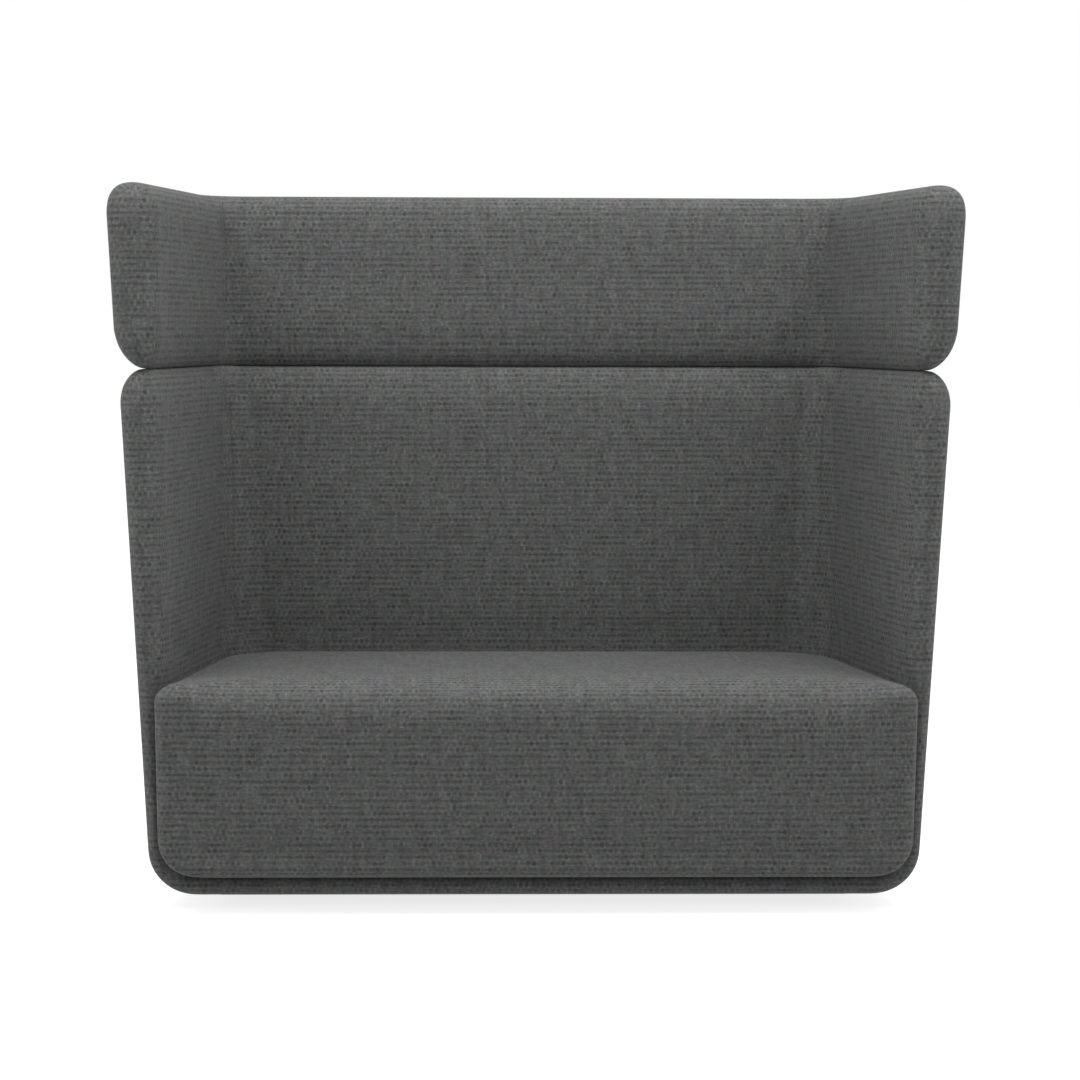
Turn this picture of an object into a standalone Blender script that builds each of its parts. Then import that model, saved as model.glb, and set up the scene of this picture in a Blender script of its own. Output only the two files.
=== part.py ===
"""High-back sofa for two: an upholstered shell, a seat block and a lift-off headrest."""

import math

import bmesh
import bpy
from mathutils import Matrix, Vector

# Heights above the floor
SHELL_BOTTOM = 0.020
SHELL_TOP = 1.000
HEADREST_HEIGHT = 0.342
SEAT_EDGE_TOP = 0.416
SEAT_CROWN = 0.007

# Plan of the walls, taken to the floor line at the front of the arms
OUTER_HALF = 0.7204
OUTER_LEAN = 0.0565
WALL_AT_FLOOR = 0.0404
INNER_LEAN = 0.018
ARM_SPLAY = 0.1625
INNER_DEPTH = 0.466
INNER_BACK_LEAN = 0.0575
BACK_AT_FLOOR = 0.071
OUTER_BACK_LEAN = 0.075
INNER_CORNER_LOW = 0.155
INNER_CORNER_TOP = 0.060
HEADREST_PROUD = 0.0035

# Rounding of the walls
CROWN_HEIGHT = 0.060
FRONT_ROUND = 0.046
FRONT_TIP_ANGLE = 18.0
TOP_FRONT_RADIUS = 0.056
FOOT_RADIUS = 0.090
FOOT_REACH = 0.150
BASE_THICKNESS = 0.050

# Seat block
SEAT_OVERHANG = 0.070
SEAT_CLEARANCE = 0.002
SEAT_FOOT_RADIUS = 0.070
SEAT_HEEL_RADIUS = 0.045
SEAT_EDGE_RADIUS = 0.016
SEAT_FRONT_RADIUS = 0.030
SEAT_FRAME_WIDTH = 0.045
SEAT_FRAME_HEIGHT = 0.060
SEAT_FRAME_SIDE = 0.210
SEAT_FRAME_INSET = 0.055
SEAT_FRAME_REAR = 0.095
SEAT_UNDERLAP = 0.020
STRAP_COUNT = 6
STRAP_WIDTH = 0.070
STRAP_THICKNESS = 0.002

# Sheet materials and fits
COVER = 0.0012
FIT = 0.0006
GAP = 0.0003
CORE = 0.012
CORE_EDGE_COVER = 0.030
PANEL = 0.018
DUST_COVER = 0.0008
DUST_LAP = 0.015
SEGMENT_SHARE = 0.003
OVERCUT = 0.010

# Headrest posts
POST_SIDE = 0.330
POST_WIDTH = 0.040
POST_THICKNESS = 0.006
POST_IN_SHELL = 0.150
POST_IN_HEADREST = 0.180
SLEEVE_WALL = 0.002
SLEEVE_FIT = 0.0004
SLEEVE_SPARE = 0.018
SLEEVE_DROP = 0.002

# Levelling glides and bolts
GLIDE_RADIUS = 0.021
STUD_RADIUS = 0.004
STUD_LENGTH = 0.034
STUD_FIT = 0.0004
GLIDE_FRONT = 0.170
GLIDE_INSET = 0.120
GLIDE_CORNER_CLEAR = 0.0323
INSERT_WALL = 0.0018
INSERT_LENGTH = 0.036
INSERT_FLANGE = 0.0085
FLANGE_THICKNESS = 0.0014
BOLT_RADIUS = 0.004
BOLT_HEAD = 0.008
BOLT_HEAD_HEIGHT = 0.005
BOLT_GRIP = 0.035

# Facets
CROWN_STEPS = 4
FOOT_STEPS = 4
TURN_STEPS = 4
TURNED_STEPS = 20

# Sizes that follow from the ones above
HEADREST_BOTTOM = SHELL_TOP + FIT
HEADREST_TOP = HEADREST_BOTTOM + HEADREST_HEIGHT
FOOT_TOP = SHELL_BOTTOM + FOOT_RADIUS
BASE_TOP = SHELL_BOTTOM + BASE_THICKNESS
INNER_HALF = OUTER_HALF - WALL_AT_FLOOR
OUTER_DEPTH = INNER_DEPTH + BACK_AT_FLOOR
SEAT_FRAME_HALF = INNER_HALF - SEAT_FRAME_SIDE
POST_SPACING = 2 * (INNER_HALF - POST_SIDE)
MID_BACK_LEAN = (INNER_BACK_LEAN + OUTER_BACK_LEAN) / 2
BACK_LEAN_ANGLE = math.atan(MID_BACK_LEAN)
BACKMOST = OUTER_DEPTH + HEADREST_PROUD + OUTER_BACK_LEAN * (HEADREST_TOP - CROWN_HEIGHT)
ARM_FRONT_Y = (SEAT_OVERHANG - BACKMOST) / 2
SEAT_BOTTOM = BASE_TOP + FIT
PAD_INSET = COVER + FIT
FRAME_BOTTOM = BASE_TOP + GAP
FRAME_TOP = FRAME_BOTTOM + SEAT_FRAME_HEIGHT
INSERT_BORE = STUD_RADIUS + STUD_FIT
FLANGE_BOTTOM = SHELL_BOTTOM - GAP - FLANGE_THICKNESS
INSERT_TOP = FLANGE_BOTTOM + INSERT_LENGTH
GLIDE_TOP = FLANGE_BOTTOM - GAP

ARM, TURN, BACK = "arm", "turn", "back"


class Wall:
    """One upholstered U of arms and back, from its lowest to its highest point."""

    def __init__(self, bottom, top, proud, footed):
        self.bottom = bottom
        self.top = top
        self.proud = proud
        self.footed = footed

    def inner(self, z):
        """Half width, depth and corner radius of the inner face at a height."""
        rise = min(max(z / SHELL_TOP, 0.0), 1.0)
        radius = INNER_CORNER_LOW + (INNER_CORNER_TOP - INNER_CORNER_LOW) * rise
        return INNER_HALF + INNER_LEAN * z, INNER_DEPTH + INNER_BACK_LEAN * z, radius

    def thickness(self, station, z):
        """Wall thickness at a height, easing from the arms' to the back's round the corner."""
        arm = WALL_AT_FLOOR + (OUTER_LEAN - INNER_LEAN) * z + self.proud
        back = BACK_AT_FLOOR + (OUTER_BACK_LEAN - INNER_BACK_LEAN) * z + self.proud
        kind, value, _ = station
        if kind == ARM:
            return arm
        if kind == TURN:
            square = arm / math.hypot(1.0, ARM_SPLAY)
            return square + (back - square) * min(max(value, 0.0), 1.0)
        return back

    def place(self, station, z, share, shift):
        """World point at a share of the thickness from the outer face, shifted inwards from there."""
        inside = trace(self.inner(z), station)
        spot = inside + outward(station) * (self.thickness(station, z) * (1.0 - share) - shift)
        return Vector((spot.x, spot.y + ARM_FRONT_Y, z))

    def low_place(self, station, run, z):
        """World point of the foot, a distance inwards from the outer face above it."""
        spot = self.place(station, FOOT_TOP, 0.0, run)
        spot.z = z
        return spot


SHELL = Wall(SHELL_BOTTOM, SHELL_TOP, 0.0, True)
HEADREST = Wall(HEADREST_BOTTOM, HEADREST_TOP, HEADREST_PROUD, False)


def trace(line, station):
    """Point in plan on a U of two splayed arms, two round corners and a straight back."""
    half, depth, radius = line
    kind, value, side = station
    centre_y = depth - radius
    centre_x = half - ARM_SPLAY * centre_y - radius * math.hypot(1.0, ARM_SPLAY)
    if kind == ARM:
        return Vector(((half - ARM_SPLAY * value) * side, value))
    if kind == TURN:
        start = math.atan(ARM_SPLAY)
        angle = start + (math.pi / 2 - start) * value
        return Vector(((centre_x + radius * math.cos(angle)) * side, centre_y + radius * math.sin(angle)))
    return Vector((centre_x * value * side, depth))


def outward(station):
    """Level direction across the wall at a station, away from the seat."""
    kind, value, side = station
    if kind == ARM:
        return Vector((side, 0.0))
    if kind == TURN:
        start = math.atan(ARM_SPLAY)
        angle = start + (math.pi / 2 - start) * value
        return Vector((math.cos(angle) * side, math.sin(angle)))
    return Vector((0.0, 1.0))


def front_fullness(station, inset):
    """Share of the full thickness at a station: it falls away round the arm's front end."""
    kind, value, _ = station
    if kind != ARM or value >= FRONT_ROUND:
        return 1.0
    tip = math.cos(math.radians(FRONT_TIP_ANGLE))
    ahead = (FRONT_ROUND - value) / (FRONT_ROUND - inset)
    return math.sqrt(max(0.0, 1.0 - (tip * ahead) ** 2))


def front_drop(station, inset):
    """How far the rounded front corner lies below the top of the wall."""
    kind, value, _ = station
    if kind != ARM or value >= TOP_FRONT_RADIUS:
        return 0.0
    radius = TOP_FRONT_RADIUS - inset
    return radius - math.sqrt(max(0.0, radius**2 - (TOP_FRONT_RADIUS - value) ** 2))


def arm_stations(side, inset):
    """Stations down one arm, from its front end to the corner."""
    tip = math.cos(math.radians(FRONT_TIP_ANGLE))
    ahead = [math.cos(math.radians(a)) / tip for a in (FRONT_TIP_ANGLE, 42.0, 65.0, 90.0)]
    depths = [FRONT_ROUND - (FRONT_ROUND - inset) * a for a in ahead]
    return [(ARM, depth, side) for depth in depths + [TOP_FRONT_RADIUS]]


def turn_stations(side, low, high):
    """Stations round one corner between two shares of its turn."""
    return [(TURN, low + (high - low) * i / TURN_STEPS, side) for i in range(TURN_STEPS + 1)]


def segment(name, inset, share=SEGMENT_SHARE):
    """Stations of one length of a wall, parted from the next by a share of the turn."""
    side = -1 if name.startswith("left") else 1
    if name.endswith("arm"):
        return arm_stations(side, inset) + [(TURN, -share, side)]
    if name.endswith("corner"):
        return turn_stations(side, share, 1.0 - share)
    if name.endswith("wing"):
        return arm_stations(side, inset) + turn_stations(side, 0.0, 1.0 - share)
    return [(TURN, 1.0 + share, 1), (BACK, 0.0, 1), (TURN, 1.0 + share, -1)]


def whole_wall():
    """Stations from the right arm's front end round to the left arm's."""
    right = arm_stations(1, 0.0) + turn_stations(1, 0.0, 1.0)
    left = arm_stations(-1, 0.0) + turn_stations(-1, 0.0, 1.0)
    return right + [(BACK, 0.0, 1)] + left[::-1]


def crown_edges(wall, station, inset, turn_up):
    """Outer and inner points of a rounded upper (or lower) edge, out from the wall's faces."""
    drop = front_drop(station, inset)
    base = wall.top - drop - CROWN_HEIGHT if turn_up else wall.bottom + drop + CROWN_HEIGHT
    rise = CROWN_HEIGHT - inset if turn_up else inset - CROWN_HEIGHT
    outer, inner = [], []
    for i in range(CROWN_STEPS + 1):
        angle = math.pi / 2 * i / CROWN_STEPS
        z = base + rise * math.sin(angle)
        reach = (wall.thickness(station, z) / 2 - inset) * math.cos(angle)
        outer.append(wall.place(station, z, 0.5, -reach))
        inner.append(wall.place(station, z, 0.5, reach))
    return outer, inner


def foot_edges(wall, station, inset):
    """Outer and inner points of the foot, from its inward end round to the wall."""
    middle = SHELL_BOTTOM + FOOT_RADIUS
    wide = FOOT_RADIUS - wall.thickness(station, FOOT_TOP) + inset
    tall = FOOT_RADIUS - BASE_THICKNESS + inset
    big = FOOT_RADIUS - inset
    outer = [wall.low_place(station, FOOT_REACH, SHELL_BOTTOM + inset)]
    inner = [wall.low_place(station, FOOT_REACH, BASE_TOP - inset)]
    for i in range(FOOT_STEPS + 1):
        angle = math.pi / 2 * (1.0 - i / FOOT_STEPS)
        across, down = math.cos(angle), math.sin(angle)
        outer.append(wall.low_place(station, FOOT_RADIUS - big * across, middle - big * down))
        inner.append(wall.low_place(station, FOOT_RADIUS - wide * across, middle - tall * down))
    return outer, inner


def thin_front(station, inset, outer, inner):
    """Draws both faces towards the middle of the wall at the rounded front end."""
    full = front_fullness(station, inset)
    drawn_outer, drawn_inner = [], []
    for a, b in zip(outer, inner):
        middle = (a + b) / 2
        drawn_outer.append(middle + (a - middle) * full)
        drawn_inner.append(middle + (b - middle) * full)
    return drawn_outer, drawn_inner


def full_section(wall, station, inset):
    """Outer and inner points of the whole wall at a station, lowest first."""
    top_outer, top_inner = crown_edges(wall, station, inset, True)
    if wall.footed:
        low_outer, low_inner = foot_edges(wall, station, inset)
    else:
        low_outer, low_inner = crown_edges(wall, station, inset, False)
        low_outer.reverse()
        low_inner.reverse()
    return thin_front(station, inset, low_outer + top_outer, low_inner + top_inner)


def wall_section(wall, station, inset):
    """Outer and inner points of the wall above its foot."""
    top_outer, top_inner = crown_edges(wall, station, inset, True)
    z = FOOT_TOP + GAP
    half = wall.thickness(station, z) / 2 - inset
    outer = [wall.place(station, z, 0.5, -half)]
    inner = [wall.place(station, z, 0.5, half)]
    return thin_front(station, inset, outer + top_outer, inner + top_inner)


def rail_section(wall, station, inset):
    """Outer and inner points of the foot alone."""
    return thin_front(station, inset, *foot_edges(wall, station, inset))


def core_section(wall, station, low, high, half):
    """Outer and inner points of a sheet in the middle of the wall."""
    outer = [wall.place(station, z, 0.5, -half) for z in (low, high)]
    inner = [wall.place(station, z, 0.5, half) for z in (low, high)]
    return outer, inner


def loft(sections, open_foot):
    """Closed body (or a skin left open along its foot) through outer and inner edges."""
    bm = bmesh.new()
    rows = []
    for outer, inner in sections:
        rows.append(([bm.verts.new(p) for p in outer], [bm.verts.new(p) for p in inner]))
    for (outer_a, inner_a), (outer_b, inner_b) in zip(rows, rows[1:]):
        for near, far in ((outer_a, outer_b), (inner_a, inner_b)):
            for i in range(len(near) - 1):
                bm.faces.new((near[i], near[i + 1], far[i + 1], far[i]))
        bm.faces.new((outer_a[-1], inner_a[-1], inner_b[-1], outer_b[-1]))
        if not open_foot:
            bm.faces.new((outer_a[0], inner_a[0], inner_b[0], outer_b[0]))
    for outer, inner in (rows[0], rows[-1]):
        for i in range(len(outer) - 1):
            bm.faces.new((outer[i], outer[i + 1], inner[i + 1], inner[i]))
    bmesh.ops.remove_doubles(bm, verts=bm.verts, dist=GAP / 10)
    bmesh.ops.dissolve_degenerate(bm, edges=bm.edges, dist=GAP / 10)
    bmesh.ops.triangulate(bm, faces=bm.faces)
    bmesh.ops.recalc_face_normals(bm, faces=bm.faces)
    return bm


def material(name, colour, roughness, metallic=0.0):
    """Principled material of one piece."""
    made = bpy.data.materials.new(name)
    made.use_nodes = True
    shader = made.node_tree.nodes["Principled BSDF"]
    shader.inputs["Base Color"].default_value = (*colour, 1.0)
    shader.inputs["Roughness"].default_value = roughness
    shader.inputs["Metallic"].default_value = metallic
    return made


FABRIC = ((0.10, 0.10, 0.10), 0.9, 0.0)
FOAM = ((0.80, 0.76, 0.62), 0.95, 0.0)
PLYWOOD = ((0.62, 0.46, 0.28), 0.6, 0.0)
TIMBER = ((0.55, 0.38, 0.20), 0.6, 0.0)
STEEL = ((0.55, 0.56, 0.58), 0.35, 1.0)
NYLON = ((0.03, 0.03, 0.03), 0.5, 0.0)
LINING = ((0.04, 0.04, 0.04), 0.95, 0.0)
WEBBING = ((0.30, 0.24, 0.16), 0.8, 0.0)


class Bench:
    """Collections for the finished pieces and the cutting shapes."""

    def __init__(self):
        for item in list(bpy.data.objects):
            bpy.data.objects.remove(item, do_unlink=True)
        self.parts = bpy.data.collections.new("high_back_sofa")
        self.cutters = bpy.data.collections.new("cutters")
        for group in (self.parts, self.cutters):
            bpy.context.scene.collection.children.link(group)

    def piece(self, name, bm, finish, origin=(0.0, 0.0, 0.0), parent=None, smooth=False):
        """Links a body as a named piece whose origin is at a world point."""
        spot = Vector(origin)
        bmesh.ops.translate(bm, verts=bm.verts, vec=-spot)
        mesh = bpy.data.meshes.new(name)
        bm.to_mesh(mesh)
        bm.free()
        made = bpy.data.objects.new(name, mesh)
        self.parts.objects.link(made)
        mesh.materials.append(material(name, *finish))
        made.location = spot - parent.location if parent else spot
        made.parent = parent
        if smooth:
            mesh.shade_smooth()
            mesh.set_sharp_from_angle(angle=math.radians(40))
        return made

    def empty(self, name, spot):
        """Empty that carries the pieces of a moving body."""
        made = bpy.data.objects.new(name, None)
        made.location = spot
        self.parts.objects.link(made)
        return made

    def cutter(self, name, bm):
        """Links a body as a cutting shape."""
        mesh = bpy.data.meshes.new(name)
        bm.to_mesh(mesh)
        bm.free()
        made = bpy.data.objects.new(name, mesh)
        made.hide_render = True
        made.display_type = "WIRE"
        self.cutters.objects.link(made)
        return made


def cut(piece, cutter):
    """Takes a cutting shape away from a piece."""
    step = piece.modifiers.new(cutter.name, "BOOLEAN")
    step.operation = "DIFFERENCE"
    step.solver = "EXACT"
    step.object = cutter


def thicken(piece, thickness):
    """Gives a skin its thickness, on its inner side."""
    step = piece.modifiers.new("thickness", "SOLIDIFY")
    step.thickness = thickness
    step.offset = -1.0
    step.use_even_offset = True


def box(size, centre, lean=0.0):
    """Block of a size about a centre, leaning back by an angle."""
    bm = bmesh.new()
    bmesh.ops.create_cube(bm, size=1.0)
    bmesh.ops.scale(bm, vec=size, verts=bm.verts)
    turn = Matrix.Rotation(-lean, 4, "X")
    bmesh.ops.transform(bm, matrix=Matrix.Translation(centre) @ turn, verts=bm.verts)
    return bm


def rod(radius, low, high, spot):
    """Upright round bar between two heights."""
    bm = bmesh.new()
    bmesh.ops.create_cone(
        bm,
        cap_ends=True,
        segments=TURNED_STEPS,
        radius1=radius,
        radius2=radius,
        depth=high - low,
        matrix=Matrix.Translation((spot.x, spot.y, (low + high) / 2)),
    )
    return bm


def turned(bench, name, profile, closed, finish, spot):
    """Piece turned about an upright axis from a profile of radii and heights."""
    bm = bmesh.new()
    corners = [bm.verts.new((radius, 0.0, height)) for radius, height in profile]
    for a, b in zip(corners, corners[1:]):
        bm.edges.new((a, b))
    if closed:
        bm.edges.new((corners[-1], corners[0]))
    made = bench.piece(name, bm, finish)
    made.location = spot
    step = made.modifiers.new("turn", "SCREW")
    step.steps = TURNED_STEPS
    step.render_steps = TURNED_STEPS
    step.use_merge_vertices = True
    step.merge_threshold = 0.00005
    return made


def flat_sheet(outline, low, high):
    """Flat panel between two heights with an outline in plan."""
    bm = bmesh.new()
    face = bm.faces.new([bm.verts.new((x, y, low)) for x, y in outline])
    raised = bmesh.ops.extrude_face_region(bm, geom=[face])
    lifted = [v for v in raised["geom"] if isinstance(v, bmesh.types.BMVert)]
    bmesh.ops.translate(bm, verts=lifted, vec=(0.0, 0.0, high - low))
    bmesh.ops.recalc_face_normals(bm, faces=bm.faces)
    return bm


def back_middle(z):
    """Depth of the middle of the back wall at a height."""
    return ARM_FRONT_Y + (OUTER_DEPTH + INNER_DEPTH) / 2 + MID_BACK_LEAN * z


def foot_outline(reach, front):
    """Plan outline inside the feet of the walls, closed along a straight front."""
    right = [(ARM, front - ARM_FRONT_Y, 1)] + turn_stations(1, 0.0, 1.0)
    left = [(ARM, front - ARM_FRONT_Y, -1)] + turn_stations(-1, 0.0, 1.0)
    return [SHELL.low_place(s, reach, 0.0).xy for s in right + left[::-1]]


def glide_spots():
    """Places of the four glides, front pair first."""
    front = SHELL.low_place((ARM, GLIDE_FRONT, 1), GLIDE_INSET, 0.0)
    rear = SHELL.low_place((BACK, 0.0, 1), GLIDE_INSET, 0.0)
    half = trace(SHELL.inner(FOOT_TOP), (TURN, 1.0, 1)).x - GLIDE_CORNER_CLEAR
    return {
        "front_left": Vector((-front.x, front.y, 0.0)),
        "front_right": Vector((front.x, front.y, 0.0)),
        "rear_left": Vector((-half, rear.y, 0.0)),
        "rear_right": Vector((half, rear.y, 0.0)),
    }


def build_base(bench):
    """Timber base: rails with a rounded foot, front rail, panel and dust cover."""
    rails = {}
    for name, length in (
        ("left_base_rail", "left_arm"),
        ("right_base_rail", "right_arm"),
        ("left_corner_block", "left_corner"),
        ("right_corner_block", "right_corner"),
        ("rear_base_rail", "back"),
    ):
        sections = [rail_section(SHELL, s, PAD_INSET) for s in segment(length, PAD_INSET)]
        rails[name] = bench.piece(name, loft(sections, False), TIMBER)
    for spot_name, spot in glide_spots().items():
        bored = rod(INSERT_BORE + INSERT_WALL + GAP, SHELL_BOTTOM - OVERCUT, INSERT_TOP + GAP, spot)
        hole = bench.cutter("glide_hole_" + spot_name, bored)
        rail = "rear_base_rail"
        if spot_name.startswith("front"):
            rail = spot_name.split("_")[1] + "_base_rail"
        cut(rails[rail], hole)

    front_back = ARM_FRONT_Y + TOP_FRONT_RADIUS
    reach = [SHELL.low_place((ARM, y, 1), FOOT_REACH + GAP, 0.0).x for y in (0.0, TOP_FRONT_RADIUS)]
    bench.piece("front_rail", border_loft(PAD_INSET, reach, False), TIMBER)
    border = bench.piece("front_border_cover", border_loft(0.0, reach, True), FABRIC, smooth=True)
    thicken(border, COVER)

    panel = flat_sheet(foot_outline(FOOT_REACH + GAP, front_back + GAP), BASE_TOP - PANEL, BASE_TOP)
    base_panel = bench.piece("base_panel", panel, PLYWOOD)
    for name, spot in bolt_spots().items():
        hole = bench.cutter("bolt_hole_" + name, rod(
            BOLT_RADIUS + GAP, BASE_TOP - 2 * PANEL, BASE_TOP + BOLT_GRIP + GAP, spot))
        cut(base_panel, hole)
    lining = flat_sheet(
        foot_outline(FOOT_REACH - DUST_LAP, front_back - DUST_LAP),
        SHELL_BOTTOM - GAP - DUST_COVER,
        SHELL_BOTTOM - GAP,
    )
    bench.piece("dust_cover", lining, LINING)


def border_loft(inset, reach, open_back):
    """Front border between the feet of the arms: square behind, rounded in front."""
    bm = bmesh.new()
    middle = (SHELL_BOTTOM + BASE_TOP) / 2
    half = BASE_THICKNESS / 2 - inset
    upper, lower = [], []
    for station in arm_stations(1, inset):
        y = station[1]
        full = front_fullness(station, inset)
        share = y / TOP_FRONT_RADIUS
        wide = reach[0] + (reach[1] - reach[0]) * share
        for row, z in ((upper, middle + half * full), (lower, middle - half * full)):
            row.append([bm.verts.new((wide * s, ARM_FRONT_Y + y, z)) for s in (-1, 1)])
    loop = upper[::-1] + lower
    for a, b in zip(loop, loop[1:]):
        bm.faces.new((a[0], a[1], b[1], b[0]))
    if not open_back:
        bm.faces.new((loop[-1][0], loop[-1][1], loop[0][1], loop[0][0]))
        for k in (0, 1):
            for i in range(len(upper) - 1):
                bm.faces.new((upper[i][k], upper[i + 1][k], lower[i + 1][k], lower[i][k]))
    bmesh.ops.recalc_face_normals(bm, faces=bm.faces)
    return bm


def build_glides(bench):
    """Screw-in glides and their threaded inserts."""
    for name, spot in glide_spots().items():
        stud_top = GLIDE_TOP + STUD_LENGTH
        turned(bench, name + "_glide", [
            (0.0, stud_top),
            (STUD_RADIUS, stud_top),
            (STUD_RADIUS, GLIDE_TOP),
            (GLIDE_RADIUS * 0.8, GLIDE_TOP),
            (GLIDE_RADIUS, GLIDE_TOP * 0.6),
            (GLIDE_RADIUS, 0.0),
            (0.0, 0.0),
        ], False, NYLON, spot)
        barrel = INSERT_BORE + INSERT_WALL
        turned(bench, name + "_insert", [
            (INSERT_BORE, FLANGE_BOTTOM),
            (INSERT_BORE, INSERT_TOP),
            (barrel, INSERT_TOP),
            (barrel, FLANGE_BOTTOM + FLANGE_THICKNESS),
            (INSERT_FLANGE, FLANGE_BOTTOM + FLANGE_THICKNESS),
            (INSERT_FLANGE, FLANGE_BOTTOM),
        ], True, STEEL, spot)


def post_box(width, thickness, low, high, side):
    """Upright block in the plane of the back, at one of the two posts."""
    middle = (low + high) / 2
    centre = Vector((side * POST_SPACING / 2, back_middle(middle), middle))
    tall = (high - low) / math.cos(BACK_LEAN_ANGLE)
    return box((width, thickness, tall), centre, BACK_LEAN_ANGLE)


def build_walls(bench):
    """Plywood cores, padding and cover of the shell."""
    core_top = SHELL_TOP - CORE_EDGE_COVER
    core_low = FOOT_TOP + GAP
    bore_width = POST_WIDTH + 2 * SLEEVE_FIT
    bore_depth = POST_THICKNESS + 2 * SLEEVE_FIT
    sleeve_width = bore_width + 2 * SLEEVE_WALL
    sleeve_depth = bore_depth + 2 * SLEEVE_WALL
    sleeve_top = SHELL_TOP - SLEEVE_DROP
    sleeve_low = SHELL_TOP - POST_IN_SHELL - SLEEVE_SPARE
    ways = []
    for side, word in ((-1, "left"), (1, "right")):
        wide = sleeve_width + 2 * GAP
        way = post_box(wide, sleeve_depth + 2 * GAP, sleeve_low - GAP, SHELL_TOP + CROWN_HEIGHT, side)
        ways.append(bench.cutter("sleeve_way_" + word, way))
        notch = post_box(wide, 2 * CORE, sleeve_low - GAP, SHELL_TOP, side)
        ways.append(bench.cutter("sleeve_notch_" + word, notch))
        tube = post_box(sleeve_width, sleeve_depth, sleeve_low, sleeve_top, side)
        bore = post_box(bore_width, bore_depth, sleeve_low - OVERCUT, SHELL_TOP, side)
        cut(bench.piece(word + "_sleeve", tube, STEEL), bench.cutter("sleeve_bore_" + word, bore))

    for length in ("left_arm", "left_corner", "back", "right_corner", "right_arm"):
        sections = [core_section(SHELL, s, core_low, core_top, CORE / 2)
                    for s in core_stations(length, TOP_FRONT_RADIUS)]
        core = bench.piece(length + "_core", loft(sections, False), PLYWOOD)
        sections = [wall_section(SHELL, s, PAD_INSET) for s in segment(length, PAD_INSET)]
        padding = bench.piece(length + "_padding", loft(sections, False), FOAM, smooth=True)
        slot = [core_section(SHELL, s, SHELL_BOTTOM, core_top + GAP, CORE / 2 + GAP)
                for s in core_stations(length, TOP_FRONT_RADIUS - GAP, 0.0)]
        cut(padding, bench.cutter(length + "_slot", loft(slot, False)))
        if length == "back":
            for way in ways:
                cut(core if "notch" in way.name else padding, way)

    cover = bench.piece("shell_cover", loft(
        [full_section(SHELL, s, 0.0) for s in whole_wall()], True), FABRIC, smooth=True)
    thicken(cover, COVER)
    for way in ways:
        if "way" in way.name:
            cut(cover, way)
    for name, spot in glide_spots().items():
        cut(cover, bench.cutter("glide_way_" + name, rod(
            INSERT_BORE + INSERT_WALL + GAP, SHELL_BOTTOM - OVERCUT, SHELL_BOTTOM + OVERCUT, spot)))


def core_stations(name, front, share=SEGMENT_SHARE):
    """The stations a core runs through: it stops short of the rounded front end."""
    stations = segment(name, 0.0, share)
    kept = [s for s in stations if s[0] != ARM]
    if stations[0][0] == ARM:
        kept.insert(0, (ARM, front, stations[0][2]))
    return kept


def build_headrest(bench):
    """Headrest cores, padding, cover and posts, carried by an empty on the lift axis."""
    foot = Vector((0.0, back_middle(HEADREST_BOTTOM), HEADREST_BOTTOM))
    carrier = bench.empty("headrest_carrier", foot)
    core_low = HEADREST_BOTTOM + CORE_EDGE_COVER
    core_top = HEADREST_TOP - CORE_EDGE_COVER
    post_top = HEADREST_BOTTOM + POST_IN_HEADREST
    ways, notches = [], []
    for side, word in ((-1, "left"), (1, "right")):
        notches.append(bench.cutter("post_notch_" + word, post_box(
            POST_WIDTH + 2 * GAP, 2 * CORE, HEADREST_BOTTOM, post_top + GAP, side)))
        ways.append(bench.cutter("post_way_" + word, post_box(
            POST_WIDTH + 2 * GAP, POST_THICKNESS + 2 * GAP, SHELL_TOP - CROWN_HEIGHT, post_top, side)))
        bench.piece(word + "_post", post_box(
            POST_WIDTH, POST_THICKNESS, SHELL_TOP - POST_IN_SHELL, post_top, side), STEEL, foot, carrier)
    for length in ("left_wing", "back", "right_wing"):
        name = "headrest_" + length
        sections = [core_section(HEADREST, s, core_low, core_top, CORE / 2)
                    for s in core_stations(length, TOP_FRONT_RADIUS)]
        core = bench.piece(name + "_core", loft(sections, False), PLYWOOD, foot, carrier)
        sections = [full_section(HEADREST, s, PAD_INSET) for s in segment(length, PAD_INSET)]
        padding = bench.piece(name + "_padding", loft(sections, False), FOAM, foot, carrier, True)
        slot = [core_section(HEADREST, s, core_low - GAP, core_top + GAP, CORE / 2 + GAP)
                for s in core_stations(length, TOP_FRONT_RADIUS - GAP, 0.0)]
        cut(padding, bench.cutter(name + "_slot", loft(slot, False)))
        if length == "back":
            for notch, way in zip(notches, ways):
                cut(core, notch)
                cut(padding, way)
    cover = bench.piece("headrest_cover", loft(
        [full_section(HEADREST, s, 0.0) for s in whole_wall()], False), FABRIC, foot, carrier, True)
    thicken(cover, COVER)
    for way in ways:
        cut(cover, way)


def seat_outline(z, side_inset, front_inset, rear_inset):
    """Plan outline of the seat block at a height, counter-clockwise from the front left."""
    half, depth, radius = SHELL.inner(max(z, FOOT_TOP))
    clear = SEAT_CLEARANCE
    line = (half - clear - side_inset, depth - clear - rear_inset, radius)
    front = front_inset - SEAT_OVERHANG
    turn = SEAT_EDGE_RADIUS
    corner_x = trace(line, (ARM, front + turn, 1)).x - turn
    points = []
    for angle in (-90.0, -60.0, -30.0, 0.0):
        a = math.radians(angle)
        points.append((corner_x + turn * math.cos(a), front + turn + turn * math.sin(a)))
    for station in turn_stations(1, 0.0, 1.0):
        points.append(tuple(trace(line, station)))
    ring = points + [(-x, y) for x, y in reversed(points)]
    return [Vector((x, y + ARM_FRONT_Y, z)) for x, y in ring]


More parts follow.
